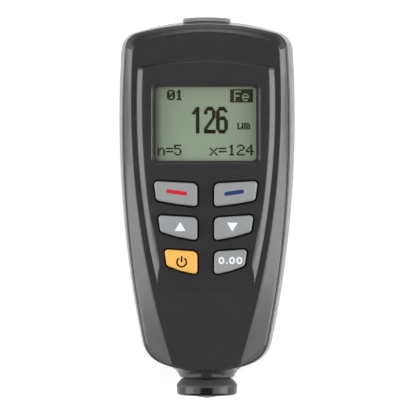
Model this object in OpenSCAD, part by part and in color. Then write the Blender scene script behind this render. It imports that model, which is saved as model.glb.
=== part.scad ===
// Coating thickness gauge, lying on its back with the face up.
// +X is right as the face is read, +Y points to the USB end, +Z comes out of the face.
// The probe points to -Y. The flat of the back lies in the plane z = 0.

/* [Case outline] */
// half width of the case at its widest level
case_half_w = 26.8; // [25:0.05:29]
// where along the length the case is widest
case_wide_y = 27.6; // [22:0.2:34]
// radius of the long side curve
case_side_r = 337; // [290:1:400]
// end of the case above the display
case_top_y = 56.9; // [55.5:0.1:60]
// radius of the top end curve
case_top_r = 70.6; // [60:0.2:110]
// corner radius at the top end
case_top_corner_r = 5.7; // [4.5:0.1:7]
// end of the case at the probe
case_bottom_y = -50.2; // [-52:0.1:-49.5]
// radius of the probe end curve
case_bottom_r = 36.6; // [33:0.2:46]
// corner radius at the probe end
case_bottom_corner_r = 8.8; // [7:0.1:9.6]

/* [Case heights] */
// height of the joint between the two covers
part_z = 21; // [20.6:0.1:23]
// height at which the rear cover is widest
side_z = 9.5; // [8:0.1:11]
// how far the rear cover draws in from its widest level to the joint
rim_draw = 1.85; // [1.3:0.05:2]
// how far the back edge is rounded in plan
back_round = 6.6; // [5:0.1:8]
// wall of both covers
wall = 1.8; // [1.5:0.1:2.2]
// depth of the V groove along the joint
joint_groove = 0.4; // [0.3:0.05:0.6]
// how far the front cover's edge sits inside the rear cover's
joint_step = 0.22; // [0.1:0.02:0.26]

/* [Face] */
// height of the front cover's upright edge above the joint
edge_h = 0.95; // [0.7:0.05:1.2]
// rise of the flank from the joint to the face
flank_h = 2.9; // [2.5:0.1:3.6]
// flank width beside the display
flank_w = 2.38; // [2:0.02:3]
// radius of the long face edge
face_side_r = 255; // [235:1:270]
// rise of the display and key panel above the face
panel_h = 1.5; // [1:0.1:2]
// width of the face ledge outside the panel slope
ledge_w = 1.77; // [1.3:0.01:2.2]
// width of the panel slope
slope_w = 1.55; // [1.3:0.05:2]
// top end of the panel
panel_top_y = 43.3; // [42.8:0.1:44.5]
// lower end of the panel, where its slope has run out
panel_bottom_y = -25; // [-26:0.1:-24.4]
// length of the ramp at the lower end of the panel
panel_ramp = 5.6; // [4:0.1:6]
// thickness of the face wall
face_wall = 2; // [1.8:0.1:2.4]

/* [Display] */
// width of the lens
lens_w = 32.1; // [31:0.1:34]
// height of the lens
lens_l = 23.7; // [22.5:0.1:24.5]
// thickness of the lens
lens_t = 1.2; // [1:0.1:1.5]
// depth of the lens face below the panel
lens_sink = 0.3; // [0.1:0.05:0.5]
// bevel around the window
window_bevel = 0.25; // [0.1:0.05:0.35]
// centre of the display along the length
display_y = 25.1; // [24.9:0.1:25.6]
// width of the view opening
view_w = 29.8; // [28:0.1:30.4]
// height of the view opening
view_l = 22.4; // [20:0.1:22.6]
// thickness of the LCD panel
lcd_t = 1.8; // [1.4:0.1:2.2]
// thickness of the foam gasket
gasket_t = 0.5; // [0.4:0.1:0.8]
// how far the LCD panel reaches past the lens on each side
lcd_margin = 1.1; // [0.8:0.1:1.3]
// wall of the display holder
holder_wall = 1; // [0.8:0.1:1.2]

/* [Keys] */
// half of the gap between the two key columns
key_gap_half = 2.55; // [2.2:0.05:2.9]
// top edge of the first key row at the middle
key_row_y = 7.2; // [6.6:0.1:7.4]
// distance between key rows
key_pitch = 10.2; // [10:0.05:10.5]
// width of the soft keys
key_w1 = 13; // [11.5:0.1:13.4]
// width of the arrow keys
key_w2 = 11.75; // [10.5:0.05:12.1]
// width of the power and zero keys
key_w3 = 9.85; // [9:0.05:10.2]
// height of a key at its inner side
key_h = 6.9; // [6.3:0.1:7.1]
// rise of a key's top edge towards the outside
key_lift = 0.7; // [0.4:0.05:0.9]
// rise of the soft keys' lower edge towards the outside
key_rise1 = 1.85; // [1.4:0.05:2.2]
// rise of the other keys' lower edge towards the outside
key_rise2 = 2.65; // [2.2:0.05:2.9]
// height of a key above the panel
key_proud = 1.6; // [1.3:0.1:2]
// gap around a key in its opening
key_clear = 0.42; // [0.3:0.02:0.48]
// width of the flange that keeps a key in
key_flange = 0.8; // [0.6:0.05:0.9]
// travel of a key
key_travel = 1; // [0.8:0.1:1.1]

/* [Board] */
// thickness of the main board
board_t = 1.6; // [1.2:0.1:2]
// height of the zebra strips between board and LCD panel
zebra_h = 3; // [2.8:0.1:3.2]
// gap between the board edge and the rear cover
board_clear = 0.8; // [0.5:0.1:1.2]
// lower end of the board
board_bottom_y = -36; // [-37:0.1:-35]
// thickness of the keypad mat
mat_t = 0.9; // [0.7:0.1:1.2]
// side of the processor
chip_w = 10; // [8:0.5:11]
// distance of the processor and the buzzer from the middle
chip_x = 11; // [10.5:0.1:11.5]
// distance of the processor and the buzzer from the battery bay
chip_gap = 8; // [7.5:0.1:8.4]
// height of the chips
chip_h = 1.4; // [1:0.1:1.6]
// width of the two small chips
small_chip_w = 4; // [3:0.5:4.5]
// length of the two small chips
small_chip_l = 5; // [4:0.5:5.5]
// radius of the buzzer
buzzer_r = 4.5; // [4:0.1:4.6]
// height of the buzzer
buzzer_h = 4.5; // [3.5:0.1:4.8]

/* [Screws] */
// distance of the upper case screws from the widest level of the side
screw_side = 9.7; // [9.2:0.05:10]
// distance of the upper case screws from the top end
screw_end = 12; // [11.6:0.1:12.4]
// distance of the lower case screws from the middle
screw_low_x = 14; // [13.6:0.1:14.2]
// position of the lower case screws along the length
screw_low_y = -35.5; // [-36:0.1:-35]
// shank radius of the case screws
screw_r = 1; // [0.9:0.05:1.1]
// head radius of the case screws
screw_head_r = 2.1; // [1.9:0.05:2.3]
// radius of the posts around the case screws
post_r = 3.2; // [3:0.1:3.4]

/* [Probe] */
// height of the probe axis above the back
probe_z = 10.8; // [10.4:0.1:11.2]
// radius of the sleeve
sleeve_r = 9.2; // [8.6:0.1:9.4]
// how far the sleeve stands out of the case
sleeve_reach = 6.8; // [6.4:0.1:7.4]
// length of the cylindrical part of the sleeve
sleeve_band = 2.75; // [2.4:0.05:2.9]
// length of the sleeve's cone
sleeve_cone = 1.8; // [1.5:0.05:2]
// radius of the sleeve at its waist
waist_r = 7.8; // [7.5:0.1:8.2]
// thickness of the seal ring
seal_t = 0.3; // [0.25:0.05:0.45]
// radius of the neck where it leaves the case
neck_r = 8.95; // [8.7:0.05:9.2]
// how far the neck flares out into the case
neck_flare = 0.95; // [0.5:0.05:1]
// radius of the sleeve's stem
stem_r = 6.55; // [6.4:0.05:6.7]
// how far the stem reaches into the case
stem_in = 10.3; // [10:0.1:10.7]
// length of the plunger's guide in the sleeve
guide_l = 6.4; // [6:0.1:6.6]
// length of the plunger behind its stop
skirt_l = 6; // [5.6:0.1:6.2]
// radius of the sleeve nut over its corners
nut_r = 8.6; // [8.2:0.1:8.8]
// thickness of the sleeve nut
nut_t = 2.2; // [1.8:0.1:2.4]
// radius of the plunger
plunger_r = 4.65; // [4.4:0.05:4.8]
// how far the dome stands out of the sleeve
tip_proud = 1; // [0.8:0.1:1.2]
// radius of the dome
dome_r = 11.5; // [10:0.5:14]
// radius of the iron core
core_r = 1.2; // [1:0.05:1.4]
// running clearance of the plunger
run_clear = 0.08; // [0.05:0.01:0.1]
// depth of the V groove across the sleeve's end
vee_depth = 1.1; // [0.6:0.1:1.3]

/* [USB port] */
// width of the port cover
usb_cover_w = 14.3; // [13:0.1:15]
// thickness of the port cover
usb_cover_t = 1.15; // [1:0.05:1.5]
// depth of the recess of the port cover
usb_sink = 0.45; // [0.3:0.05:0.6]
// size of the port cover across the case thickness
usb_cover_h = 7; // [6.6:0.1:7.4]
// width of the socket
socket_w = 7.7; // [7.5:0.1:8]
// height of the socket
socket_h = 3.9; // [3.7:0.1:4]
// length of the socket
socket_l = 9.2; // [8.5:0.1:9.6]

/* [Battery] */
// diameter of a cell
cell_d = 10.5; // [10.2:0.1:10.5]
// length of a cell with its nub
cell_l = 44.5; // [43.3:0.1:44.5]
// lower end of the battery bay
bay_bottom_y = -21; // [-21.5:0.1:-20.5]
// room for the contact springs
contact_room = 4.3; // [4:0.1:4.8]
// wall of the battery bay
bay_wall = 1.2; // [1:0.1:1.4]
// side of a battery contact
contact_w = 8.4; // [7.6:0.1:8.8]
// thickness of a battery contact
contact_t = 0.35; // [0.25:0.05:0.45]
// thickness of the battery door
door_t = 1.6; // [1.4:0.1:1.8]
// ledge under the edge of the door
door_ledge = 1.5; // [1.2:0.1:1.8]
// depth of the door's face below the back
door_sink = 0.3; // [0.2:0.05:0.4]
// gap around the door
door_gap = 0.2; // [0.15:0.05:0.3]

/* [Hidden] */
$fn = 48;
tiny = 0.05;
// heights
face_z = part_z + flank_h;
panel_z = face_z + panel_h;
ceil_z = face_z - face_wall;
key_top_z = panel_z + key_proud;
lens_z = panel_z - lens_sink - lens_t;
lcd_top_z = ceil_z - gasket_t;
lcd_bottom_z = lcd_top_z - lcd_t;
board_top_z = lcd_bottom_z - zebra_h;
board_z = board_top_z - board_t;
// outlines, each one a chain of five tangent arcs on either side
W = [case_half_w, case_wide_y, case_side_r, case_top_y, case_top_r, case_top_corner_r,
  case_bottom_y, case_bottom_r, case_bottom_corner_r];
P = [case_half_w - rim_draw, case_wide_y - 3, case_side_r - 8, case_top_y - 1.05 * rim_draw,
  case_top_r + 8.4, case_top_corner_r - 1, case_bottom_y + 1, case_bottom_r - 1,
  case_bottom_corner_r - 0.4];
S = [P[0] - flank_w, P[1] + 6.9, face_side_r, P[3] - 2.2, P[4] - 11, 3.5, P[6] + 0.6, P[7] - 1.4, 0.9];
A = [S[0] - ledge_w, P[1] + 5.9, face_side_r - 33, panel_top_y, 90, 1.2, panel_bottom_y, 70, 1];
B = [A[0] - slope_w, P[1] + 5.9, face_side_r - 30, panel_top_y - 1.4, 88.6, 1.4,
  panel_bottom_y + panel_ramp, 66, 5];
// screws
screw_top_x = case_half_w - screw_side;
screw_top_y = case_top_y - screw_end;
// display
lcd_w = lens_w + 2 * lcd_margin;
lcd_l = lens_l + 2 * lcd_margin;
holder_w = lcd_w + 2 * (holder_wall + 0.15);
holder_l = lcd_l + 2 * (holder_wall + 0.15);
// keys
key_flange_z = ceil_z - 0.1 - 1.1;
key_hub_z = board_top_z + mat_t + key_travel + 0.9;
hub_r = 2.3;
// probe
sleeve_end_y = case_bottom_y - sleeve_reach;
stem_top_y = case_bottom_y + stem_in;
seal_y = sleeve_end_y + sleeve_band + sleeve_cone + 0.65;
neck_end_y = seal_y + seal_t + 0.02;
bore_r = plunger_r + run_clear;
spring_bore_r = stem_r - 0.8;
stop_y = sleeve_end_y + guide_l;
flange_y = stop_y + 0.04;
plunger_top_y = flange_y + skirt_l;
retainer_t = 1.3;
spring_y0 = flange_y + 1.25;
spring_y1 = stem_top_y - retainer_t - 0.05;
nut_face_y = case_bottom_y + 4.4;
// port
usb_z = board_z - socket_h / 2;
usb_face_y = case_top_y - usb_sink;
usb_axis_z = usb_z - usb_cover_h / 2 - 0.95;
usb_axis_y = usb_face_y + 0.3;
usb_barrel_r = 0.75;
tunnel_w = socket_w + 1.4;
tunnel_h = socket_h + 1.3;
// battery
bay_half_w = cell_d + 0.5;
bay_top_y = bay_bottom_y + cell_l + contact_room;
cell_z = door_sink + door_t + 0.35 + cell_d / 2;
bay_z = cell_z + cell_d / 2 + 0.2;
door_half_w = bay_half_w + door_ledge;
door_y0 = bay_bottom_y - door_ledge;
door_y1 = bay_top_y + door_ledge;
door_ledge_z = door_sink + door_t + 0.1;
door_axis_y = door_y0 + door_gap + door_t / 2;
door_axis_z = door_sink + door_t / 2;

// arc as a list of points
function arc(c, r, a0, a1, n) = [for (i = [0:n]) let(a = a0 + (a1 - a0) * i / n) c + r * [cos(a), sin(a)]];
// crossing of two circles, on the side that s picks
function meet(p, rp, q, rq, s) =
  let(d = q - p, l = norm(d), u = d / l, a = (rp * rp - rq * rq + l * l) / (2 * l), h = sqrt(rp * rp - a * a))
  p + a * u + s * h * [-u[1], u[0]];
function angle_of(v) = atan2(v[1], v[0]);
function tail(l) = [for (i = [1:len(l) - 1]) l[i]];
// right half of an outline, from the middle of its top to the middle of its bottom
function half_outline(v) =
  let(cs = [v[0] - v[2], v[1]], ct = [0, v[3] - v[4]], cb = [0, v[6] + v[7]],
    ft = meet(cs, v[2] - v[5], ct, v[4] - v[5], 1), fb = meet(cs, v[2] - v[8], cb, v[7] - v[8], -1),
    a1 = angle_of(ft - ct), a2 = angle_of(ft - cs), a3 = angle_of(fb - cs), a4 = angle_of(fb - cb))
  concat(arc(ct, v[4], 90, a1, 5), tail(arc(ft, v[5], a1, a2, 6)), tail(arc(cs, v[2], a2, a3, 11)),
    tail(arc(fb, v[8], a3, a4, 5)), tail(arc(cb, v[7], a4, -90, 5)));
function outline(v) =
  let(h = half_outline(v)) concat(h, [for (i = [len(h) - 2:-1:1]) [-h[i][0], h[i][1]]]);
// the same outline moved in by d
function inset(v, d) = [v[0] - d, v[1], v[2] - d, v[3] - d, v[4] - d, max(v[5] - d, 0.8), v[6] + d,
  v[7] - d, max(v[8] - d, 0.8)];
function mix(a, b, t) = a + (b - a) * t;
function ring(pts, z) = [for (p = pts) [p[0], p[1], z]];
// corners rounded by radii r and moved out by d; the corners run clockwise
function rounded(c, r, d, n) = [for (i = [0:len(c) - 1])
  let(m = len(c), e1 = c[i] - c[(i + m - 1) % m], e2 = c[(i + 1) % m] - c[i],
    n1 = [-e1[1], e1[0]] / norm(e1), n2 = [-e2[1], e2[0]] / norm(e2),
    k = (n1 + n2) / (1 + n1 * n2), a = angle_of(n1), t = acos(min(1, n1 * n2)))
  each arc(c[i] - r[i] * k, r[i] + d, a, a - t, n)];

// solid through rings of equal point count, closed by its first and last ring
module loft(rings) {
  n = len(rings[0]);
  m = len(rings);
  sides = [for (k = [0:m - 2], i = [0:n - 1]) let(j = (i + 1) % n, a = k * n, b = a + n)
    each [[a + i, a + j, b + j], [a + i, b + j, b + i]]];
  first = [for (i = [n - 1:-1:0]) i];
  last = [for (i = [0:n - 1]) (m - 1) * n + i];
  polyhedron(points = [for (r = rings) each r], faces = concat([first], sides, [last]), convexity = 10);
}
// round wire along a helix about the Y axis, from radius r0 at y0 to radius r1 at y1
module helix(y0, y1, r0, r1, turns, wire, sides) {
  steps = ceil(turns * 14);
  loft([for (k = [0:steps]) let(t = k / steps, a = -360 * turns * t, r = mix(r0, r1, t), y = mix(y0, y1, t))
    [for (i = [0:sides - 1]) let(b = 360 * i / sides, q = r + wire * cos(b))
      [q * cos(a), y + wire * sin(b), q * sin(a)]]]);
}
// places a shape drawn around the Z axis on the probe axis, with its z along +Y
module on_probe() {
  translate([0, 0, probe_z]) rotate([-90, 0, 0]) children();
}
// turned shape on the probe axis from points [radius, y]
module turned(pts) {
  on_probe() rotate_extrude($fn = 64) polygon(pts);
}
module both_sides() {
  children();
  mirror([1, 0, 0]) children();
}
module at_case_screws() {
  both_sides() {
    translate([screw_top_x, screw_top_y, 0]) children();
    translate([screw_low_x, screw_low_y, 0]) children();
  }
}
board_screw_at = [[9, 46.6], [9.6, -28]];
module at_board_screws() {
  both_sides() for (p = board_screw_at) translate([p[0], p[1], 0]) children();
}
// box with rounded upright edges, centred in x and y
module slab(w, l, h, r) {
  linear_extrude(height = h) polygon(rounded([[-w / 2, l / 2], [w / 2, l / 2], [w / 2, -l / 2],
    [-w / 2, -l / 2]], [r, r, r, r], 0, 6));
}

// key outlines, left column
function key_corners(w, y, rise) = [[-key_gap_half - w, y + key_lift], [-key_gap_half, y],
  [-key_gap_half, y - key_h], [-key_gap_half - w * 0.5, y - key_h + rise * 0.42],
  [-key_gap_half - w + 0.75, y - key_h + rise]];
key_radii = [1, 1.6, 1, 9, 1.3];
function key_pts(row, d) = rounded(
  row == 0 ? key_corners(key_w1, key_row_y, key_rise1)
  : row == 1 ? key_corners(key_w2, key_row_y - key_pitch, key_rise2)
  : key_corners(key_w3, key_row_y - 2 * key_pitch, key_rise2), key_radii, d, 6);
function key_center(row) = [-key_gap_half - [key_w1, key_w2, key_w3][row] * 0.47,
  key_row_y - row * key_pitch - key_h * 0.42];

module key_solid(row) {
  loft([ring(key_pts(row, 0), key_flange_z + 0.5), ring(key_pts(row, 0), key_top_z - 0.55),
    ring(key_pts(row, -0.1), key_top_z - 0.25), ring(key_pts(row, -0.32), key_top_z - 0.06),
    ring(key_pts(row, -0.62), key_top_z)]);
  translate([0, 0, key_flange_z]) linear_extrude(height = 1.1) polygon(key_pts(row, key_flange));
  translate([key_center(row)[0], key_center(row)[1], key_hub_z])
    cylinder(r = hub_r, h = key_flange_z - key_hub_z + 0.3);
}

// outline of the lens, moved out by d
function window_pts(d) = rounded([[-lens_w / 2, display_y + lens_l / 2], [lens_w / 2, display_y + lens_l / 2],
  [lens_w / 2, display_y - lens_l / 2], [-lens_w / 2, display_y - lens_l / 2]], [1, 1, 1, 1], d, 6);

module front_cover() {
  edge = inset(P, joint_step);
  edge_z = part_z + edge_h;
  color([0.17, 0.17, 0.175]) difference() {
    union() {
      loft([ring(outline(inset(S, 0.7)), ceil_z), ring(outline(inset(P, wall)), part_z + 0.25),
        ring(outline(inset(P, wall)), part_z + 0.02), ring(outline(inset(P, joint_groove)), part_z + 0.02),
        ring(outline(edge), part_z + joint_groove), ring(outline(edge), edge_z),
        ring(outline(mix(edge, S, 0.5)), mix(edge_z, face_z, 0.53)),
        ring(outline(mix(edge, S, 0.92)), mix(edge_z, face_z, 0.93)),
        ring(outline(mix(edge, S, 1.08)), face_z)]);
      loft([ring(outline(inset(A, -0.35)), face_z - 0.3), ring(outline(mix(A, B, 0.88)), panel_z - 0.1),
        ring(outline(inset(B, 0.25)), panel_z)]);
      at_case_screws() translate([0, 0, board_top_z + 0.9])
        cylinder(r = post_r - 0.6, h = ceil_z + 0.1 - board_top_z - 0.9);
      at_board_screws() translate([0, 0, board_top_z + 0.02])
        cylinder(r = 2, h = ceil_z + 0.5 - board_top_z);
    }
    translate([0, display_y, lens_z - 0.02]) slab(lens_w + 0.2, lens_l + 0.2, 10, 1.1);
    translate([0, display_y, part_z - 5]) slab(view_w, view_l, 20, 0.8);
    // bevel around the window
    loft([ring(window_pts(0.05), panel_z - window_bevel),
      ring(window_pts(0.1 + window_bevel), panel_z + 0.05)]);
    for (row = [0:2]) both_sides() translate([0, 0, part_z - 2])
      linear_extrude(height = 12) polygon(key_pts(row, key_clear));
    at_case_screws() translate([0, 0, part_z - 8]) cylinder(r = screw_r + 0.03, h = ceil_z - part_z + 7.6);
    at_board_screws() translate([0, 0, part_z - 8]) cylinder(r = 0.93, h = ceil_z - part_z + 7.4);
  }
}

// outline of the door's opening, moved in by d; its corners are round at the latch end only
function door_pts(d) = rounded([[-door_half_w, door_y1], [door_half_w, door_y1], [door_half_w, door_y0],
  [-door_half_w, door_y0]], [1.8, 1.8, 0.4, 0.4], -d, 6);

module rear_cover() {
  bay_w = 2 * (bay_half_w + bay_wall);
  bay_l = bay_top_y - bay_bottom_y + 2 * bay_wall;
  bay_y = (bay_top_y + bay_bottom_y) / 2;
  door_w = 2 * door_half_w;
  door_l = door_y1 - door_y0;
  color([0.17, 0.17, 0.175]) difference() {
    union() {
      loft([ring(outline(inset(W, back_round)), 0), ring(outline(inset(W, back_round * 0.64)), 0.35),
        ring(outline(inset(W, back_round * 0.35)), 1.3), ring(outline(inset(W, back_round * 0.15)), 3),
        ring(outline(inset(W, back_round * 0.04)), 5.8), ring(outline(W), side_z),
        ring(outline(mix(W, P, 0.26)), mix(side_z, part_z, 0.36)),
        ring(outline(mix(W, P, 0.6)), mix(side_z, part_z, 0.68)), ring(outline(P), part_z - joint_groove),
        ring(outline(inset(P, joint_groove)), part_z), ring(outline(inset(P, wall)), part_z),
        ring(outline(inset(mix(W, P, 0.6), wall)), mix(side_z, part_z, 0.68)),
        ring(outline(inset(W, wall)), side_z), ring(outline(inset(W, back_round * 0.15 + wall)), 4),
        ring(outline(inset(W, back_round * 0.4 + wall)), 2.3),
        ring(outline(inset(W, back_round * 0.9 + wall)), wall)]);
      // nose and neck
      turned(concat([[3, nut_face_y], [neck_r - 0.1, nut_face_y], [neck_r - 0.1, case_bottom_y + 1.8],
        [neck_r + neck_flare, case_bottom_y + 1.35], [neck_r + neck_flare * 0.3, case_bottom_y + 0.95],
        [neck_r + neck_flare * 0.1, case_bottom_y + 0.5]],
        [for (a = [0:15:90]) [mix(waist_r, neck_r, cos(a)), mix(case_bottom_y - 0.55, neck_end_y, sin(a))]],
        [[3, neck_end_y]]));
      // battery bay with the frame of its door
      translate([0, bay_y, 0.6]) slab(bay_w, bay_l, bay_z + bay_wall - 0.6, 1.2);
      translate([0, bay_y, 0.5]) slab(door_w + 3, door_l + 3, door_ledge_z + 1, 2.5);
      at_case_screws() translate([0, 0, 0.8]) cylinder(r = post_r, h = board_top_z + 0.05);
      // pad behind the port cover
      translate([0, 0, usb_axis_z - 0.6]) linear_extrude(height = usb_cover_h + 1.45) intersection() {
        translate([0, case_top_y - case_top_r]) circle(r = case_top_r, $fn = 200);
        translate([-usb_cover_w / 2 - 0.1, case_top_y - 3]) square([usb_cover_w + 0.2, 4]);
      }
    }
    translate([0, bay_y, -1]) slab(2 * bay_half_w, bay_top_y - bay_bottom_y, bay_z + 1, 0.8);
    translate([0, 0, -1]) linear_extrude(height = door_ledge_z + 1) polygon(door_pts(0));
    // holes for the door's pins
    translate([-door_half_w - 1, door_axis_y, door_axis_z]) rotate([0, 90, 0])
      cylinder(r = 0.56, h = door_w + 2);
    // finger notch at the latch
    translate([0, door_y1 + 2.2, -6.2]) sphere(r = 7.2);
    at_case_screws() {
      translate([0, 0, -1]) cylinder(r = screw_head_r + 0.3, h = 5.5);
      translate([0, 0, -1]) cylinder(r = screw_r + 0.2, h = board_top_z + 5);
    }
    on_probe() translate([0, 0, -70]) cylinder(r = stem_r + 0.05, h = 40);
    // recess of the port cover
    translate([0, 0, usb_axis_z - usb_cover_t - 0.05]) linear_extrude(height = part_z) difference() {
      translate([-usb_cover_w / 2 - 0.15, case_top_y - 3]) square([usb_cover_w + 0.3, 6]);
      translate([0, usb_face_y - 0.05 - case_top_r]) circle(r = case_top_r, $fn = 200);
    }
    // port tunnel and the groove of the cover's hinge
    translate([-tunnel_w / 2, case_top_y - 6, usb_z - tunnel_h / 2]) cube([tunnel_w, 10, tunnel_h]);
    translate([-usb_cover_w / 2 - 1, usb_axis_y, usb_axis_z]) rotate([0, 90, 0])
      cylinder(r = usb_barrel_r + 0.12, h = usb_cover_w + 2);
  }
}

module case_screws() {
  color([0.72, 0.73, 0.75]) at_case_screws() difference() {
    union() {
      translate([0, 0, 3]) cylinder(r = screw_head_r, h = 1.48);
      translate([0, 0, 4]) cylinder(r = screw_r, h = ceil_z - 5);
    }
    for (a = [0, 90]) translate([0, 0, 3]) rotate([0, 0, a]) cube([2.6, 0.6, 1.6], center = true);
  }
}

module display_lens() {
  color([0.75, 0.8, 0.78, 0.35]) translate([0, display_y, lens_z]) slab(lens_w, lens_l, lens_t, 1);
}
module display_gasket() {
  color([0.06, 0.06, 0.06]) translate([0, display_y, lcd_top_z + 0.01]) difference() {
    slab(lcd_w, lcd_l, gasket_t - 0.02, 1);
    translate([0, 0, -1]) slab(view_w + 1, view_l + 1, 4, 0.8);
  }
}
module lcd_panel() {
  color([0.54, 0.58, 0.5]) translate([0, display_y, lcd_bottom_z + 0.01])
    slab(lcd_w, lcd_l, lcd_t - 0.02, 0.6);
}
module lcd_backlight() {
  color([0.9, 0.92, 0.88]) translate([0, display_y, board_top_z + 0.02])
    slab(lcd_w - 1, lcd_l - 6, zebra_h - 0.05, 0.6);
}
module display_holder() {
  color([0.88, 0.88, 0.86]) translate([0, display_y, board_top_z + 0.02]) difference() {
    slab(holder_w, holder_l, zebra_h + lcd_t - 0.4, 1.2);
    translate([0, 0, -1]) slab(lcd_w + 0.3, lcd_l + 0.3, 12, 0.6);
  }
}
module zebra_strips() {
  color([0.2, 0.2, 0.22]) for (s = [-1, 1])
    translate([0, display_y + s * (lcd_l / 2 - 1.4), board_top_z + 0.02])
      slab(lcd_w - 1, 2, zebra_h - 0.04, 0.2);
}

module key_soft_left() {
  color([0.58, 0.59, 0.6]) key_solid(0);
}
module key_soft_right() {
  color([0.58, 0.59, 0.6]) mirror([1, 0, 0]) key_solid(0);
}
module key_up() {
  color([0.58, 0.59, 0.6]) key_solid(1);
}
module key_down() {
  color([0.58, 0.59, 0.6]) mirror([1, 0, 0]) key_solid(1);
}
module key_power() {
  color([0.97, 0.72, 0.36]) key_solid(2);
}
module key_zero() {
  color([0.58, 0.59, 0.6]) mirror([1, 0, 0]) key_solid(2);
}

module keypad_mat() {
  top = display_y - holder_l / 2 - 0.5;
  w1 = key_gap_half + key_w1 + 1.45;
  w3 = key_gap_half + key_w3 + 2.6;
  bottom = key_row_y - 2 * key_pitch - key_h - 2;
  color([0.3, 0.31, 0.32]) translate([0, 0, board_top_z + 0.01]) {
    linear_extrude(height = mat_t) polygon(rounded([[-w1, top], [w1, top], [w3, bottom], [-w3, bottom]],
      [1.5, 1.5, 2, 2], 0, 6));
    for (row = [0:2]) both_sides() translate([key_center(row)[0], key_center(row)[1], mat_t - 0.1])
      cylinder(r1 = hub_r + 0.9, r2 = hub_r - 0.1, h = key_hub_z - board_top_z - mat_t + 0.06);
  }
}

module main_board() {
  edge = inset(P, wall + board_clear);
  color([0.1, 0.35, 0.2]) translate([0, 0, board_z]) difference() {
    linear_extrude(height = board_t) intersection() {
      polygon(outline(edge));
      translate([-60, board_bottom_y]) square([120, 120]);
    }
    at_case_screws() translate([0, 0, -1]) cylinder(r = post_r + 0.6, h = 4);
    at_board_screws() translate([0, 0, -1]) cylinder(r = 1.1, h = 4);
  }
}
module board_chips() {
  color([0.08, 0.08, 0.09]) {
    translate([-chip_x, bay_top_y + chip_gap, board_z - chip_h]) slab(chip_w, chip_w, chip_h - 0.02, 0.3);
    for (p = [[0.6 - small_chip_w * 0.8, bay_top_y + small_chip_l * 1.3],
      [2.6 + small_chip_w / 2, bay_bottom_y - small_chip_l * 1.7]])
      translate([p[0], p[1], board_z - chip_h]) slab(small_chip_w, small_chip_l, chip_h - 0.02, 0.2);
  }
}
module buzzer() {
  color([0.1, 0.1, 0.1]) translate([chip_x - 0.5, bay_top_y + chip_gap, board_z - buzzer_h]) difference() {
    cylinder(r = buzzer_r, h = buzzer_h - 0.02);
    translate([0, 0, -1]) cylinder(r = buzzer_r * 0.2, h = 2.2);
  }
}
module board_screws() {
  color([0.72, 0.73, 0.75]) at_board_screws() difference() {
    union() {
      translate([0, 0, board_z - 1.2]) cylinder(r = 1.8, h = 1.18);
      translate([0, 0, board_z - 0.5]) cylinder(r = 0.9, h = ceil_z - board_z - 1);
    }
    for (a = [0, 90]) translate([0, 0, board_z - 1.2]) rotate([0, 0, a]) cube([2, 0.5, 1], center = true);
  }
}

module usb_socket() {
  color([0.74, 0.75, 0.77]) translate([0, case_top_y - 2.3 - socket_l, board_z - socket_h]) difference() {
    translate([-socket_w / 2, 0, 0]) cube([socket_w, socket_l, socket_h - 0.02]);
    translate([-socket_w / 2 + 0.4, 1, 0.4]) cube([socket_w - 0.8, socket_l, socket_h - 0.9]);
  }
}
module usb_cover() {
  z0 = usb_axis_z;
  z1 = usb_axis_z + usb_cover_h + 0.85;
  color([0.56, 0.57, 0.58]) {
    intersection() {
      translate([0, 0, z0]) linear_extrude(height = z1 - z0) difference() {
        translate([0, usb_face_y - case_top_r + usb_cover_t]) circle(r = case_top_r, $fn = 200);
        translate([0, usb_face_y - case_top_r]) circle(r = case_top_r, $fn = 200);
      }
      translate([0, case_top_y + 4, 0]) rotate([90, 0, 0]) linear_extrude(height = 6)
        polygon(rounded([[-usb_cover_w / 2, z1], [usb_cover_w / 2, z1], [usb_cover_w / 2, z0 - 2],
          [-usb_cover_w / 2, z0 - 2]], [1.8, 1.8, 0.5, 0.5], 0, 6));
    }
    translate([-usb_cover_w / 2, usb_axis_y, usb_axis_z]) rotate([0, 90, 0])
      cylinder(r = usb_barrel_r, h = usb_cover_w);
    translate([-tunnel_w / 2 + 0.35, usb_face_y - 1.5, usb_z - tunnel_h / 2 + 0.45])
      cube([tunnel_w - 0.7, 2.2, tunnel_h - 0.9]);
  }
}

module cell(nub_up) {
  color([0.2, 0.22, 0.25]) translate([0, (bay_bottom_y + bay_top_y) / 2, cell_z])
    rotate([nub_up ? -90 : 90, 0, 0]) translate([0, 0, -cell_l / 2 + (contact_room - 1.1) / 2]) {
      cylinder(d = cell_d, h = cell_l - 0.8);
      cylinder(d = 3.8, h = cell_l);
    }
}
module battery_left() {
  translate([-cell_d / 2 - 0.1, 0, 0]) cell(true);
}
module battery_right() {
  translate([cell_d / 2 + 0.1, 0, 0]) cell(false);
}
module battery_springs() {
  x = cell_d / 2 + 0.1;
  l = contact_room - 0.6;
  color([0.78, 0.79, 0.8]) {
    translate([-x, bay_bottom_y + 0.02, cell_z]) {
      translate([-contact_w / 2, 0, -contact_w / 2]) cube([contact_w, contact_t, contact_w]);
      helix(0.5, l - 0.35, 3.6, 2, 2.6, 0.25, 6);
    }
    translate([x, bay_top_y - 0.02, cell_z]) mirror([0, 1, 0]) {
      translate([-contact_w / 2, 0, -contact_w / 2]) cube([contact_w, contact_t, contact_w]);
      helix(0.5, l - 0.35, 3.6, 2, 2.6, 0.25, 6);
    }
  }
}
module battery_plates() {
  x = cell_d / 2 + 0.1;
  color([0.78, 0.79, 0.8]) {
    for (p = [[-x, bay_top_y - 0.02 - contact_t], [x, bay_bottom_y + 0.02]])
      translate([p[0] - contact_w / 2, p[1], cell_z - contact_w / 2]) cube([contact_w, contact_t, contact_w]);
  }
}
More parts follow.
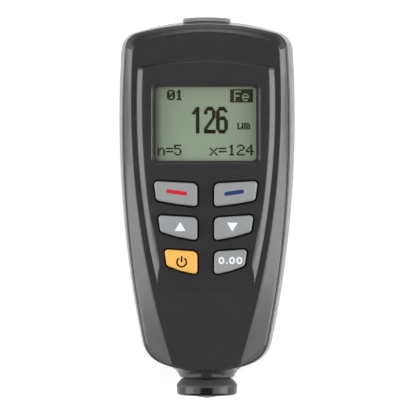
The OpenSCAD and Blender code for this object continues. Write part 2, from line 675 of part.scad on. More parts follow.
module battery_door() {
  w = 2 * (door_half_w - door_gap);
  y1 = door_y1 - door_gap;
  color([0.17, 0.17, 0.175]) difference() {
    union() {
      translate([0, 0, door_sink]) linear_extrude(height = door_t) intersection() {
        polygon(door_pts(door_gap));
        translate([-w, door_axis_y]) square([2 * w, y1 - door_axis_y]);
      }
      translate([-w / 2, door_axis_y, door_axis_z]) rotate([0, 90, 0]) cylinder(r = door_t / 2, h = w);
      translate([-w / 2 - 0.9, door_axis_y, door_axis_z]) rotate([0, 90, 0]) cylinder(r = 0.48, h = w + 1.8);
    }
    // finger ridges by the latch end
    for (k = [0:4]) translate([-6, y1 - 8.6 + 1.4 * k, door_sink - 0.35]) cube([12, 0.7, 0.7]);
  }
}

module probe_seal() {
  color([0.03, 0.03, 0.03]) turned([[stem_r + 0.08, seal_y + 0.01], [waist_r - 0.45, seal_y + 0.01],
    [waist_r - 0.45, seal_y + seal_t], [stem_r + 0.08, seal_y + seal_t]]);
}
module probe_sleeve() {
  e = sleeve_end_y;
  color([0.1, 0.1, 0.105]) difference() {
    turned([[bore_r, e], [sleeve_r - 0.95, e], [sleeve_r - 0.5, e + 0.15], [sleeve_r - 0.15, e + 0.48],
      [sleeve_r, e + 0.95], [sleeve_r, e + 0.65 + sleeve_band],
      [waist_r, seal_y], [stem_r, seal_y], [stem_r, stem_top_y], [spring_bore_r, stem_top_y],
      [spring_bore_r, stop_y], [bore_r, stop_y]]);
    // V groove for round parts
    translate([-15, e, probe_z]) rotate([0, 90, 0]) rotate([0, 0, 90]) linear_extrude(height = 30)
      polygon([[vee_depth, 0], [-1, -1.75 * (vee_depth + 1)], [-1, 1.75 * (vee_depth + 1)]]);
  }
}
module sleeve_nut() {
  color([0.7, 0.58, 0.3]) on_probe() translate([0, 0, nut_face_y + 0.02]) difference() {
    cylinder(r = nut_r, h = nut_t, $fn = 6);
    translate([0, 0, -1]) cylinder(r = stem_r + 0.05, h = nut_t + 2);
  }
}
module probe_plunger() {
  e = sleeve_end_y;
  dome = [for (i = [0:6]) let(a = mix(asin(plunger_r / dome_r), asin((core_r + 0.03) / dome_r), i / 6))
    [dome_r * sin(a), e - tip_proud + 0.1 + dome_r * (1 - cos(a))]];
  color([0.15, 0.15, 0.155]) turned(concat(dome, [[core_r + 0.03, e + 1.4], [plunger_r - 0.75, e + 1.4],
    [plunger_r - 0.75, plunger_top_y], [plunger_r, plunger_top_y], [plunger_r, flange_y + 1.2],
    [spring_bore_r - 0.15, flange_y + 1.2], [spring_bore_r - 0.15, flange_y], [plunger_r, flange_y]]));
}
module probe_core() {
  e = sleeve_end_y - tip_proud;
  color([0.5, 0.5, 0.52]) turned([[0, e], [core_r * 0.5, e + 0.05], [core_r * 0.85, e + 0.16],
    [core_r, e + 0.32], [core_r, plunger_top_y - 1], [0, plunger_top_y - 1]]);
}
module probe_bobbin() {
  y0 = sleeve_end_y + 1.42;
  y1 = plunger_top_y - 1.4;
  r = plunger_r - 0.8;
  color([0.85, 0.82, 0.7]) turned([[core_r + 0.03, y0], [r, y0], [r, y0 + 0.8], [1.75, y0 + 0.8],
    [1.75, y1 - 0.8], [r, y1 - 0.8], [r, y1], [core_r + 0.03, y1]]);
}
module probe_coil() {
  y0 = sleeve_end_y + 2.24;
  y1 = plunger_top_y - 2.22;
  color([0.72, 0.38, 0.16]) turned([[1.77, y0], [plunger_r - 1.1, y0], [plunger_r - 1.1, y1], [1.77, y1]]);
}
module probe_spring() {
  r = (plunger_r + spring_bore_r) / 2;
  color([0.75, 0.76, 0.78]) translate([0, 0, probe_z])
    helix(spring_y0 + 0.28, spring_y1 - 0.28, r, r, 5, 0.26, 6);
}
module spring_retainer() {
  color([0.7, 0.58, 0.3]) on_probe() translate([0, 0, stem_top_y - retainer_t]) difference() {
    cylinder(r = spring_bore_r - 0.03, h = retainer_t);
    translate([0, 0, -1]) cylinder(r = 2, h = 4);
  }
}
module probe_lead() {
  y0 = stem_top_y - 0.9;
  y1 = board_bottom_y + 3.5;
  h = board_z - 0.05 - probe_z;
  color([0.6, 0.12, 0.1]) loft([for (k = [0:14]) let(t = k / 14, s = t * t * (3 - 2 * t), r = 0.55,
    dy = y1 - y0, slope = atan2(6 * t * (1 - t) * (h - r), dy))
    [for (i = [0:7]) let(a = 45 * i) [r * cos(a), y0 + dy * t - r * sin(a) * sin(slope),
      probe_z + (h - r) * s + r * sin(a) * cos(slope)]]]);
}

front_cover();
rear_cover();
case_screws();
display_lens();
display_gasket();
lcd_panel();
lcd_backlight();
display_holder();
zebra_strips();
key_soft_left();
key_soft_right();
key_up();
key_down();
key_power();
key_zero();
keypad_mat();
main_board();
board_chips();
buzzer();
board_screws();
usb_socket();
usb_cover();
battery_left();
battery_right();
battery_springs();
battery_plates();
battery_door();
probe_seal();
probe_sleeve();
sleeve_nut();
probe_plunger();
probe_core();
probe_bobbin();
probe_coil();
probe_spring();
spring_retainer();
probe_lead();
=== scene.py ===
import math
from collections import namedtuple
import bmesh
import bpy
from mathutils import Matrix, Vector


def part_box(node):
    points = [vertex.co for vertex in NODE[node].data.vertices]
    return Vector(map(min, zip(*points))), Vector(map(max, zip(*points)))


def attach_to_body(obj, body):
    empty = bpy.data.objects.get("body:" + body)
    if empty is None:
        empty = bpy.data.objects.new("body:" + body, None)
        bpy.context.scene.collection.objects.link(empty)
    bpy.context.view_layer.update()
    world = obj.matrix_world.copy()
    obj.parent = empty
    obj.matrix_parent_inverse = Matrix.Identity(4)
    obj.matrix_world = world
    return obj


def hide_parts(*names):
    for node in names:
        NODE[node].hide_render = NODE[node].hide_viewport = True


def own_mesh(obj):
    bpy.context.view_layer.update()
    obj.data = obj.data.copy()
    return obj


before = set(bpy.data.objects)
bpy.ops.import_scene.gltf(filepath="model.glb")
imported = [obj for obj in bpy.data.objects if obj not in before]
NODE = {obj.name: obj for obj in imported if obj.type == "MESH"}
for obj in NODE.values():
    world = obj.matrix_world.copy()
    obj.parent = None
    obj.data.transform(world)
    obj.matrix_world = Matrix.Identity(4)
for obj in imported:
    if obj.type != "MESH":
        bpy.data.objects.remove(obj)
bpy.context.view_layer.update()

SCENE = bpy.context.scene

# Sizes in millimetres, and MM turns them into metres

MM = 0.001
Outline = namedtuple("Outline", "half_w wide_y side_r top_y top_r top_corner_r low_y low_r low_corner_r")
KeyRow = namedtuple("KeyRow", "width top_y rise")

# Outlines from the widest part of the rear cover in to the top of the raised panel
WIDEST = Outline(26.776, 27.6, 337, 56.9, 70.6, 5.7, -50.2, 36.6, 8.8)
JOINT = Outline(24.95, 24.6, 329, 54.96, 79.0, 4.7, -49.2, 35.6, 8.4)
FACE = Outline(22.57, 31.5, 255, 52.76, 68.0, 3.5, -48.6, 34.2, 0.9)
PANEL_FOOT = Outline(20.8, 30.5, 232, 44.6, 90, 1.2, -25.0, 70, 1.0)
PANEL_EDGE = Outline(19.25, 30.5, 235, 43.2, 88.6, 1.4, -19.4, 66, 1.6)
ARC_STEPS = (16, 14, 44, 14, 16)
LEAST_CORNER_R = 0.8
CORNER_STEPS = 10

# Heights of the front cover, and of the cutters that pass through it or the back
FACE_Z, PANEL_Z, CEILING_Z = 23.9, 25.4, 21.9
ABOVE_Z, INSIDE_Z, BELOW_Z = 30, 15, -1
WALL = 1.8

# Display window, its view opening and the ink on the glass
DISPLAY_Y = 25.1
WINDOW_W, WINDOW_L, WINDOW_R, WINDOW_FLOOR_Z = 32.1, 23.7, 1.7, 23.88
VIEW_W, VIEW_L, VIEW_R = 30.1, 22.0, 1.2
INK_LOW_Z, INK_TOP_Z = 21.385, 21.41

# Keys: rows from the top, each with a raised outer corner and a sloped lower edge
KEY_ROWS = (KeyRow(13.0, 7.2, 1.85), KeyRow(11.75, -3.0, 2.65), KeyRow(9.85, -13.2, 2.65))
KEY_HALF_GAP, KEY_L, KEY_LIFT, KEY_TAPER = 2.55, 6.9, 0.7, 0.75
KEY_RADII = (1, 1.6, 1, 9, 1.3)
KEY_TOP_Z = 26.97
KEY_FLANGE, KEY_FLANGE_LOW_Z, KEY_FLANGE_TOP_Z, KEY_EDGE_R = 0.8, 20.7, 21.8, 0.62
# Height below which the keys' sides are painted near-black as shade for the shadowed gaps round them
KEY_SHADE_Z = 25.3

# Probe: its axis, the sleeve's end, the end band, and the stem above the cone
PROBE_Z = 10.8
SLEEVE_END_Y = -57.0
BAND_L, STEM_Y = 2.6, SLEEVE_END_Y + 4.92
STEM_R, STEM_BORE_R = 6.55, 6.6

# Battery bay in the back, with its door, and the case screws
BAY_Y, CELLS_W, CELLS_L, CELLS_TOP_Z = 3.4, 22, 48.8, 12.95
BAY_WALL, BAY_LOW_Z = 1.2, 0.6
DOOR_EDGE, DOOR_T, FRAME_EDGE, FRAME_LOW_Z, FRAME_TOP_Z = 1.5, 2.0, 1.5, 0.5, 3.5
DOOR_HINGE_Y, DOOR_HINGE_Z, DOOR_HINGE_R, DOOR_HINGE_HALF_W = -21.5, 1.1, 0.56, 13.5
NOTCH_Y, NOTCH_Z, NOTCH_R = 31.5, -6.2, 7.2
POST_R, POST_LOW_Z, POST_TOP_Z = 3.2, 0.8, 17.4
HEAD_R, HEAD_TOP_Z, HOLE_R, HOLE_TOP_Z = 2.4, 4.5, 1.2, 25
SCREWS = [(side * x, y) for side in (-1, 1) for x, y in ((17.1, 44.9), (14.0, -35.5))]

# Port at the top end: the pad above its cover and the recess that the cover closes
PORT_Z, PAD_HALF_W, PAD_STEPS = 13.05, 7.25, 24
RECESS_HALF_W, RECESS_DEPTH, RECESS_LOW_Z = 7.3, 0.5, 7.4
TUNNEL_HALF_W, TUNNEL_H, TUNNEL_Y, OUTSIDE_Y = 4.55, 5.2, 50.9, 60
FLAP_HINGE_Y, FLAP_HINGE_Z, FLAP_HINGE_R, FLAP_HINGE_HALF_W = 56.75, 8.6, 0.87, 8.15


# Outlines

def arc(centre, r, start, end, steps):
    out = []
    for i in range(steps + 1):
        a = math.radians(start + (end - start) * i / steps)
        out.append((centre[0] + r * math.cos(a), centre[1] + r * math.sin(a)))
    return out


def meet(first, first_r, second, second_r, side):
    """Crossing of two circles."""
    dx, dy = second[0] - first[0], second[1] - first[1]
    apart = math.hypot(dx, dy)
    ux, uy = dx / apart, dy / apart
    along = (first_r * first_r - second_r * second_r + apart * apart) / (2 * apart)
    off = math.sqrt(first_r * first_r - along * along) * side
    return (first[0] + along * ux - off * uy, first[1] + along * uy + off * ux)


def bearing(point, centre):
    return math.degrees(math.atan2(point[1] - centre[1], point[0] - centre[0]))


def outline(o):
    """Chain of five tangent arcs on either side, clockwise seen from above."""
    side, top, low = (o.half_w - o.side_r, o.wide_y), (0, o.top_y - o.top_r), (0, o.low_y + o.low_r)
    upper = meet(side, o.side_r - o.top_corner_r, top, o.top_r - o.top_corner_r, 1)
    lower = meet(side, o.side_r - o.low_corner_r, low, o.low_r - o.low_corner_r, -1)
    turns = (90, bearing(upper, top), bearing(upper, side), bearing(lower, side), bearing(lower, low), -90)
    centres = (top, upper, side, lower, low)
    radii = (o.top_r, o.top_corner_r, o.side_r, o.low_corner_r, o.low_r)
    half = []
    for centre, r, start, end, steps in zip(centres, radii, turns, turns[1:], ARC_STEPS):
        half += arc(centre, r, start, end, steps)[1 if half else 0:]
    return half + [(-x, y) for x, y in half[-2:0:-1]]


def inset(o, d):
    return Outline(o.half_w - d, o.wide_y, o.side_r - d,
                   o.top_y - d, o.top_r - d, max(o.top_corner_r - d, LEAST_CORNER_R),
                   o.low_y + d, o.low_r - d, max(o.low_corner_r - d, LEAST_CORNER_R))


def mix(first, second, t):
    return Outline(*(a + (b - a) * t for a, b in zip(first, second)))


def rounded(corners, radii, d=0.0):
    """Clockwise corners rounded by their radii, the whole moved out by d."""
    out = []
    for i, corner in enumerate(corners):
        before, after = corners[i - 1], corners[(i + 1) % len(corners)]
        normals = []
        for p, q in ((before, corner), (corner, after)):
            dx, dy = q[0] - p[0], q[1] - p[1]
            normals.append((-dy / math.hypot(dx, dy), dx / math.hypot(dx, dy)))
        (ax, ay), (bx, by) = normals
        dot = ax * bx + ay * by
        start = math.degrees(math.atan2(ay, ax))
        turn = math.degrees(math.acos(min(1.0, dot)))
        miter = ((ax + bx) / (1 + dot), (ay + by) / (1 + dot))
        centre = (corner[0] - radii[i] * miter[0], corner[1] - radii[i] * miter[1])
        out += arc(centre, radii[i] + d, start, start - turn, CORNER_STEPS)
    return out


def rounded_box(width, length, y, radii, d=0.0):
    """Rectangle on the middle line, with one radius or one for each corner from the upper left."""
    x, h = width / 2, length / 2
    radii = radii if isinstance(radii, tuple) else (radii,) * 4
    return rounded([(-x, y + h), (x, y + h), (x, y - h), (-x, y - h)], radii, d)


def circle(centre, r, sides=48):
    return arc(centre, r, 0, -360 * (sides - 1) / sides, sides - 1)


def bend(start, corner, end, steps=10):
    """Rounded corner from start to end."""
    out = []
    for i in range(steps + 1):
        t = i / steps
        u, v, w = (1 - t) ** 2, 2 * t * (1 - t), t * t
        out.append((u * start[0] + v * corner[0] + w * end[0], u * start[1] + v * corner[1] + w * end[1]))
    return out


def ease(low, high, x):
    """Smooth step from 0 at low to 1 at high."""
    t = min(max((x - low) / (high - low), 0), 1)
    return t * t * (3 - 2 * t)


# Mesh tools

def new_object(name, verts, faces, smooth=True):
    mesh = bpy.data.meshes.new(name)
    mesh.from_pydata([(x * MM, y * MM, z * MM) for x, y, z in verts], [], faces)
    bm = bmesh.new()
    bm.from_mesh(mesh)
    bmesh.ops.recalc_face_normals(bm, faces=bm.faces)
    bm.to_mesh(mesh)
    bm.free()
    for face in mesh.polygons:
        face.use_smooth = smooth
    ob = bpy.data.objects.new(name, mesh)
    SCENE.collection.objects.link(ob)
    return ob


def loft(name, rings):
    """Closed solid through rings of equal point count: (points, z) or lists of points in space."""
    rings = [[(x, y, ring[1]) for x, y in ring[0]] if isinstance(ring, tuple) else ring for ring in rings]
    n, m = len(rings[0]), len(rings)
    faces = [tuple(range(n)), tuple(range(m * n - 1, (m - 1) * n - 1, -1))]
    for k in range(m - 1):
        for i in range(n):
            j = (i + 1) % n
            faces.append((k * n + i, (k + 1) * n + i, (k + 1) * n + j, k * n + j))
    return new_object(name, [point for ring in rings for point in ring], faces)


def prism(name, points, low, high):
    return loft(name, [(points, low), (points, high)])


def bar(name, points, half_w):
    """Prism along X from points (y, z)."""
    return loft(name, [[(x, y, z) for y, z in points] for x in (-half_w, half_w)])


def turned(name, profile, steps=128):
    """Closed profile (radius, y) turned about the probe axis."""
    n = len(profile)
    verts, faces = [], []
    for k in range(steps):
        a = 2 * math.pi * k / steps
        verts += [(r * math.cos(a), y, PROBE_Z + r * math.sin(a)) for r, y in profile]
        for i in range(n):
            j, q = (i + 1) % n, (k + 1) % steps
            faces.append((k * n + i, k * n + j, q * n + j, q * n + i))
    return new_object(name, verts, faces)


def boolean(ob, others, operation="DIFFERENCE"):
    for other in others:
        cut = ob.modifiers.new("cut", "BOOLEAN")
        cut.operation, cut.object, cut.solver = operation, other, "EXACT"
    mesh = bpy.data.meshes.new_from_object(ob.evaluated_get(bpy.context.evaluated_depsgraph_get()))
    ob.modifiers.clear()
    ob.data = mesh
    for other in others:
        bpy.data.objects.remove(other)
    for face in mesh.polygons:
        face.use_smooth = True
    return ob


SHARP_ANGLE = 32


def crisp(ob, angle=SHARP_ANGLE):
    """Smooth faces with the sharp edges kept, and normals that follow the large faces."""
    ob.data.set_sharp_from_angle(angle=math.radians(angle))
    normals = ob.modifiers.new("normals", "WEIGHTED_NORMAL")
    normals.keep_sharp = True
    return ob


def smooth_by_angle(angle):
    """Modifier tree that shades smooth and keeps edges above the angle sharp."""
    tree = bpy.data.node_groups.new("smooth_by_angle", "GeometryNodeTree")
    for way in ("INPUT", "OUTPUT"):
        tree.interface.new_socket("Geometry", in_out=way, socket_type="NodeSocketGeometry")
    first = tree.nodes.new("NodeGroupInput")
    last = tree.nodes.new("NodeGroupOutput")
    faces = tree.nodes.new("GeometryNodeSetShadeSmooth")
    edges = tree.nodes.new("GeometryNodeSetShadeSmooth")
    edges.domain = "EDGE"
    edges.inputs["Shade Smooth"].default_value = False
    turn = tree.nodes.new("GeometryNodeInputMeshEdgeAngle")
    test = tree.nodes.new("FunctionNodeCompare")
    test.inputs[1].default_value = math.radians(angle)
    tree.links.new(first.outputs[0], faces.inputs[0])
    tree.links.new(faces.outputs[0], edges.inputs[0])
    tree.links.new(turn.outputs["Unsigned Angle"], test.inputs[0])
    tree.links.new(test.outputs[0], edges.inputs["Selection"])
    tree.links.new(edges.outputs[0], last.inputs[0])
    return tree


def weld(ob):
    joined = ob.modifiers.new("weld", "WELD")
    joined.merge_threshold = 0.001 * MM


def soften(ob, width):
    """Small round on every edge that turns enough."""
    edges = ob.modifiers.new("edges", "BEVEL")
    edges.width, edges.segments = width * MM, 3
    edges.limit_method, edges.angle_limit = "ANGLE", math.radians(38)
    edges.harden_normals = True
    edges.use_clamp_overlap = True


def attach(ob, body, finish, slot, *nodes):
    ob.data.materials.clear()
    ob.data.materials.append(finish)
    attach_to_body(ob, body)
    if nodes:
        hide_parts(*nodes)
    return ob


# Shader nodes

def set_socket(tree, socket, value):
    """Give a socket a value, or link it to another node's output."""
    if hasattr(value, "links"):
        tree.links.new(value, socket)
    else:
        socket.default_value = value


def add_node(tree, kind, **inputs):
    node = tree.nodes.new("ShaderNode" + kind)
    for key, value in inputs.items():
        set_socket(tree, node.inputs[key.replace("_", " ")], value)
    return node


def calculate(tree, operation, *values):
    node = tree.nodes.new("ShaderNodeMath")
    node.operation = operation
    for socket, value in zip(node.inputs, values):
        set_socket(tree, socket, value)
    return node.outputs[0]


def map_range(tree, value, low, high, start, end):
    """From low at start to high at end."""
    node = add_node(tree, "MapRange", Value=value, From_Min=start, From_Max=end, To_Min=low, To_Max=high)
    return node.outputs["Result"]


def seen_rays(tree):
    """1 for the rays that show a background, straight, mirrored or through glass, and 0 for its light."""
    ray = tree.nodes.new("ShaderNodeLightPath").outputs
    seen = calculate(tree, "MAXIMUM", ray["Is Camera Ray"], ray["Is Transmission Ray"])
    return calculate(tree, "MAXIMUM", seen, ray["Is Glossy Ray"])


class Shader:
    """A Principled material with its node helpers."""

    def __init__(self, name, **sockets):
        self.mat = bpy.data.materials.new(name)
        self.mat.use_nodes = True
        self.tree = self.mat.node_tree
        self.bsdf = self.tree.nodes["Principled BSDF"]
        for key, value in sockets.items():
            self.bsdf.inputs[key.replace("_", " ")].default_value = value
        self.coords = self.tree.nodes.new("ShaderNodeTexCoord").outputs["Object"]

    def link(self, out, key):
        self.tree.links.new(out, self.bsdf.inputs[key])

    def place(self):
        """Outputs X, Y and Z of the place on the object."""
        return add_node(self.tree, "SeparateXYZ", Vector=self.coords).outputs

    def stretched(self, scale):
        return add_node(self.tree, "Mapping", Vector=self.coords, Scale=scale).outputs["Vector"]

    def noise(self, scale, detail=3.0, rough=0.55, vector=None):
        node = add_node(self.tree, "TexNoise", Vector=vector or self.coords, Scale=scale, Detail=detail,
                        Roughness=rough)
        return node.outputs["Fac"]

    def span(self, value, low, high, start=0.3, end=0.7):
        """From low at start to high at end, by default over the middle of a noise."""
        return map_range(self.tree, value, low, high, start, end)

    def blend(self, share, first, second):
        node = self.tree.nodes.new("ShaderNodeMix")
        node.data_type = "RGBA"
        colour_a, colour_b, colour_out = node.inputs[6], node.inputs[7], node.outputs[2]
        for socket, value in ((node.inputs[0], share), (colour_a, first), (colour_b, second)):
            set_socket(self.tree, socket, value)
        return colour_out

    def bump(self, height, strength, depth):
        node = add_node(self.tree, "Bump", Height=height, Strength=strength, Distance=depth * MM)
        self.link(node.outputs["Normal"], "Normal")


# Materials

def lin(*rgb):
    """8-bit sRGB to linear RGBA."""
    out = []
    for c in rgb:
        c /= 255
        out.append(c / 12.92 if c <= 0.04045 else ((c + 0.055) / 1.055) ** 2.4)
    return (*out, 1)


def shade(colour, share):
    return (colour[0] * share, colour[1] * share, colour[2] * share, 1)


def moulded(name, colour, rough, grain=0.22, depth=0.03, spread=0.08, shade_below_z=None, **sockets):
    """Moulded plastic or rubber: fine grain, slow changes of tone and gloss, and painted shade below a given
    height, standing in for the shadow in the gaps round the keys.
    """
    s = Shader(name, **sockets)
    tone = s.blend(s.span(s.noise(55, 4), 0, 1), shade(colour, 1 - spread), shade(colour, 1 + spread))
    # Painted shade: near-black below the given height, for the shadow down in the gap round a key
    if shade_below_z:
        clear = s.span(s.place()["Z"], 0, 1, (shade_below_z - 0.7) * MM, shade_below_z * MM)
        tone = s.blend(clear, lin(20, 20, 20), tone)
    s.link(tone, "Base Color")
    s.link(s.span(s.noise(400, 4), rough - 0.05, rough + 0.05), "Roughness")
    s.bump(s.noise(1 / (grain * MM), 2), 0.5, depth)
    return s.mat


def metal(name, colour, rough, brushed):
    s = Shader(name, Metallic=1.0)
    streak = s.noise(900, 4, 0.6, s.stretched(brushed))
    s.link(s.blend(s.span(streak, 0, 1), shade(colour, 0.86), shade(colour, 1.06)), "Base Color")
    s.link(s.span(streak, rough - 0.07, rough + 0.08), "Roughness")
    s.bump(streak, 0.3, 0.01)
    return s.mat


def sleeve_finish():
    """Satin cone between the polished end band and the black stem."""
    s = Shader("sleeve_black")
    axis = s.place()["Y"]
    cone_y = SLEEVE_END_Y + BAND_L
    satin = s.span(axis, 0, 1, (cone_y - 0.06) * MM, (cone_y + 0.06) * MM)
    stem = s.span(axis, 0, 1, (STEM_Y - 0.05) * MM, STEM_Y * MM)
    tone = s.blend(s.span(s.noise(300), 0, 1), lin(8, 8, 9), lin(12, 12, 13))
    tone = s.blend(satin, tone, lin(62, 63, 64))
    s.link(s.blend(stem, tone, lin(6, 6, 6)), "Base Color")
    s.link(s.span(satin, 0.2, 0.55, 0, 1), "Roughness")
    s.bump(s.noise(3000, 2), 0.3, 0.006)
    return s.mat


def copper_winding():
    s = Shader("copper_winding", Metallic=1.0)
    wave = add_node(s.tree, "TexWave", Vector=s.coords, Scale=1400)
    wave.bands_direction = "Y"
    turns = wave.outputs["Fac"]
    s.link(s.blend(turns, lin(110, 52, 22), lin(214, 128, 70)), "Base Color")
    s.link(s.span(s.noise(700), 0.25, 0.42), "Roughness")
    s.bump(turns, 0.8, 0.06)
    return s.mat


def circuit_board():
    s = Shader("circuit_board")
    cells = add_node(s.tree, "TexVoronoi", Vector=s.stretched((1, 1.6, 0.2)), Scale=420.0)
    tracks = s.span(cells.outputs["Distance"], 0, 1, 0.28, 0.36)
    s.link(s.blend(tracks, lin(16, 84, 46), lin(28, 110, 62)), "Base Color")
    s.link(s.span(s.noise(500), 0.3, 0.45), "Roughness")
    s.bump(tracks, 0.5, 0.03)
    return s.mat


def cell_wrap():
    """Dark wrap with a grey band at the upper end."""
    s = Shader("cell_wrap", Coat_Weight=0.4, Coat_Roughness=0.15)
    band = s.span(s.place()["Y"], 0, 1, 13.6 * MM, 13.8 * MM)
    s.link(s.blend(band, lin(42, 46, 54), lin(150, 152, 156)), "Base Color")
    s.link(s.span(s.noise(300), 0.3, 0.42), "Roughness")
    s.bump(s.noise(900), 0.3, 0.01)
    return s.mat


def lcd_glass():
    """Grey-green glass, a little darker towards its upper end and in the shade at its left edge."""
    s = Shader("lcd_glass", Specular_IOR_Level=0.2)
    place = s.place()
    tone = s.blend(s.span(place["Y"], 0, 1, 14.0 * MM, 36.5 * MM), lin(148, 163, 141), lin(141, 153, 130))
    tone = s.blend(s.span(s.noise(90, 2), 0, 0.35), tone, lin(132, 144, 122))
    clear = s.span(place["X"], 0, 1, -14.7 * MM, -13.3 * MM)
    s.link(s.blend(clear, lin(106, 118, 98), tone), "Base Color")
    s.link(s.span(s.noise(600), 0.3, 0.4), "Roughness")
    s.bump(s.noise(4000, 1), 0.2, 0.005)
    return s.mat


def lcd_ink():
    s = Shader("lcd_ink", Specular_IOR_Level=0.1)
    s.link(s.blend(s.noise(800), lin(36, 36, 8), lin(46, 46, 12)), "Base Color")
    s.link(s.span(s.noise(900), 0.4, 0.5), "Roughness")
    return s.mat


def lens_clear():
    """Clear lens that lets light and shadow rays straight through."""
    s = Shader("lens_clear", Transmission_Weight=1.0, IOR=1.33)
    s.link(s.blend(s.noise(30), lin(250, 252, 250), lin(255, 255, 255)), "Base Color")
    s.link(s.span(s.noise(500), 0.02, 0.05), "Roughness")
    ray = s.tree.nodes.new("ShaderNodeLightPath").outputs
    light = calculate(s.tree, "MAXIMUM", ray["Is Shadow Ray"], ray["Is Diffuse Ray"])
    clear = s.tree.nodes.new("ShaderNodeBsdfTransparent")
    both = s.tree.nodes.new("ShaderNodeMixShader")
    for socket, out in zip(both.inputs, (light, s.bsdf.outputs[0], clear.outputs[0])):
        s.tree.links.new(out, socket)
    s.tree.links.new(both.outputs[0], s.tree.nodes["Material Output"].inputs["Surface"])
    return s.mat


CASE = moulded("case_plastic", lin(47, 46.5, 47.5), 0.23, 0.2, 0.002, Specular_IOR_Level=0.62)
KEY_GREY = moulded("key_grey", lin(150, 152, 154), 0.5, 0.15, 0.012, 0.04, KEY_SHADE_Z)
KEY_AMBER = moulded("key_amber", lin(250, 188, 92), 0.5, 0.15, 0.012, 0.03, KEY_SHADE_Z)
USB_RUBBER = moulded("grey_rubber", lin(140, 142, 144), 0.62, 0.12, 0.02, 0.05)
PLUNGER = moulded("plunger_plastic", lin(28, 28, 29), 0.42, 0.3, 0.008, Specular_IOR_Level=0.35)
SEAL = moulded("black_rubber", lin(13, 13, 13), 0.6, 0.12, 0.02)
MAT_RUBBER = moulded("mat_rubber", lin(82, 84, 86), 0.65, 0.15, 0.02)
WHITE_PLASTIC = moulded("white_plastic", lin(226, 226, 221), 0.45, 0.3, 0.01, 0.03)
CHIP = moulded("chip_black", lin(24, 24, 26), 0.55, 0.1, 0.01)
BOBBIN = moulded("bobbin_plastic", lin(222, 214, 188), 0.45, 0.3, 0.01, 0.04)
LEAD = moulded("lead_insulation", lin(168, 36, 30), 0.42, 0.4, 0.01, 0.05)
STEEL = metal("zinc_steel", lin(196, 198, 202), 0.3, (1, 6, 1))
IRON = metal("probe_iron", lin(78, 78, 82), 0.42, (6, 1, 6))
BRASS = metal("brass", lin(206, 172, 96), 0.3, (1, 6, 1))
INK_RED = moulded("ink_red", lin(206, 18, 36), 0.45, 0.2, 0.006, 0.04)
INK_BLUE = moulded("ink_blue", lin(16, 48, 108), 0.45, 0.2, 0.006, 0.05)
INK_WHITE = moulded("ink_white", lin(244, 245, 247), 0.45, 0.2, 0.006, 0.01)
INK_BROWN = moulded("ink_brown", lin(26, 11, 4), 0.5, 0.2, 0.006, 0.05, Specular_IOR_Level=0.2)
SLEEVE = sleeve_finish()
LCD_INK = lcd_ink()
CELL_WRAP = cell_wrap()

# Finish of each node that is carried over as it is
FINISH = {
    "battery_door": CASE, "case_screws": STEEL, "board_screws": STEEL,
    "display_lens": lens_clear(), "display_gasket": SEAL, "lcd_panel": lcd_glass(),
    "lcd_backlight": WHITE_PLASTIC, "display_holder": WHITE_PLASTIC, "zebra_strips": SEAL,
    "keypad_mat": MAT_RUBBER, "main_board": circuit_board(), "board_chips": CHIP, "buzzer": CHIP,
    "usb_socket": STEEL, "usb_cover": USB_RUBBER, "battery_left": CELL_WRAP, "battery_right": CELL_WRAP,
    "battery_springs": STEEL, "battery_plates": STEEL, "probe_seal": SEAL,
    "sleeve_nut": BRASS, "probe_plunger": PLUNGER, "probe_core": IRON, "probe_bobbin": BOBBIN,
    "probe_coil": copper_winding(), "spring_retainer": BRASS, "probe_lead": LEAD,
}


# Front cover

# Height of the flank at some widths of it, its bulge, and the share of the width where it rounds off
FLANK_HEIGHTS = ((0.3, 1.95), (1.3, 1.4), (2.0, 1.48), (2.55, 1.67), (3.1, 2.02), (4.5, 2.39), (6.0, 2.4))
FACET_W, FACET_HIGH = FLANK_HEIGHTS[-1]
FLANK_CROWN, FLANK_ROUND = 0.12, 0.9
TOP_HIGH, SHOULDER_HIGH, ROLL_HIGH = 1.46, 0.28, 0.12
FLANK_SHARES = (0, 0.03, 0.06, 0.1, 0.15, 0.2, 0.3, 0.4, 0.55, 0.7, 0.8, 0.9, 0.95, 1.0, 1.05, 1.1)
EDGE_INSET, LIP_INSET = 0.24, 0.18
SHELL_LOW_Z, SHELL_STEP_Z = 20.75, 21.25

# Profile of the panel's slope, three parts for each ring: sides, roll near the lower end, upper end.
# Each part is a share of the way from foot to edge and a height above the face.
# The sides have two heights, at the lower end first
PANEL_PROFILE = (
    ((-0.04, 0.0, 0.02), (-0.04, 0.02), (-0.04, 0.0)), ((0.0, 0.03, 0.1), (0.0, 0.1), (0.0, 0.02)),
    ((0.01, 0.05, 0.2), (0.01, 0.2), (0.01, 0.04)), ((0.05, 0.1, 0.3), (0.05, 0.29), (0.05, 0.14)),
    ((0.3, 0.47, 0.62), (0.3, 0.59), (0.2, 0.45)), ((0.55, 0.85, 0.935), (0.6, 0.91), (0.38, 0.84)),
    ((0.77, 1.18, 1.205), (0.85, 1.13), (0.55, 1.2)), ((0.86, 1.29, 1.305), (1.0, 1.24), (0.64, 1.38)),
    ((0.94, 1.375, 1.39), (1.12, 1.32), (0.69, 1.47)), ((1.03, 1.45, 1.455), (1.26, 1.4), (0.71, 1.49)),
    ((1.12, 1.49, 1.49), (1.4, 1.46), (0.73, 1.498)), ((1.22, 1.5, 1.5), (1.56, 1.5), (0.75, 1.5)))


def key_outline(row, side, d=0.0):
    """Key of that row, left (-1) or right (1), moved out by d."""
    w, y, rise = KEY_ROWS[row]
    inner, outer, low = -KEY_HALF_GAP, -KEY_HALF_GAP - w, y - KEY_L
    corners = [(outer, y + KEY_LIFT), (inner, y), (inner, low), (inner - w * 0.5, low + rise * 0.42),
               (outer + KEY_TAPER, low + rise)]
    points = rounded(corners, KEY_RADII, d)
    return points if side < 0 else [(-x, y) for x, y in points]


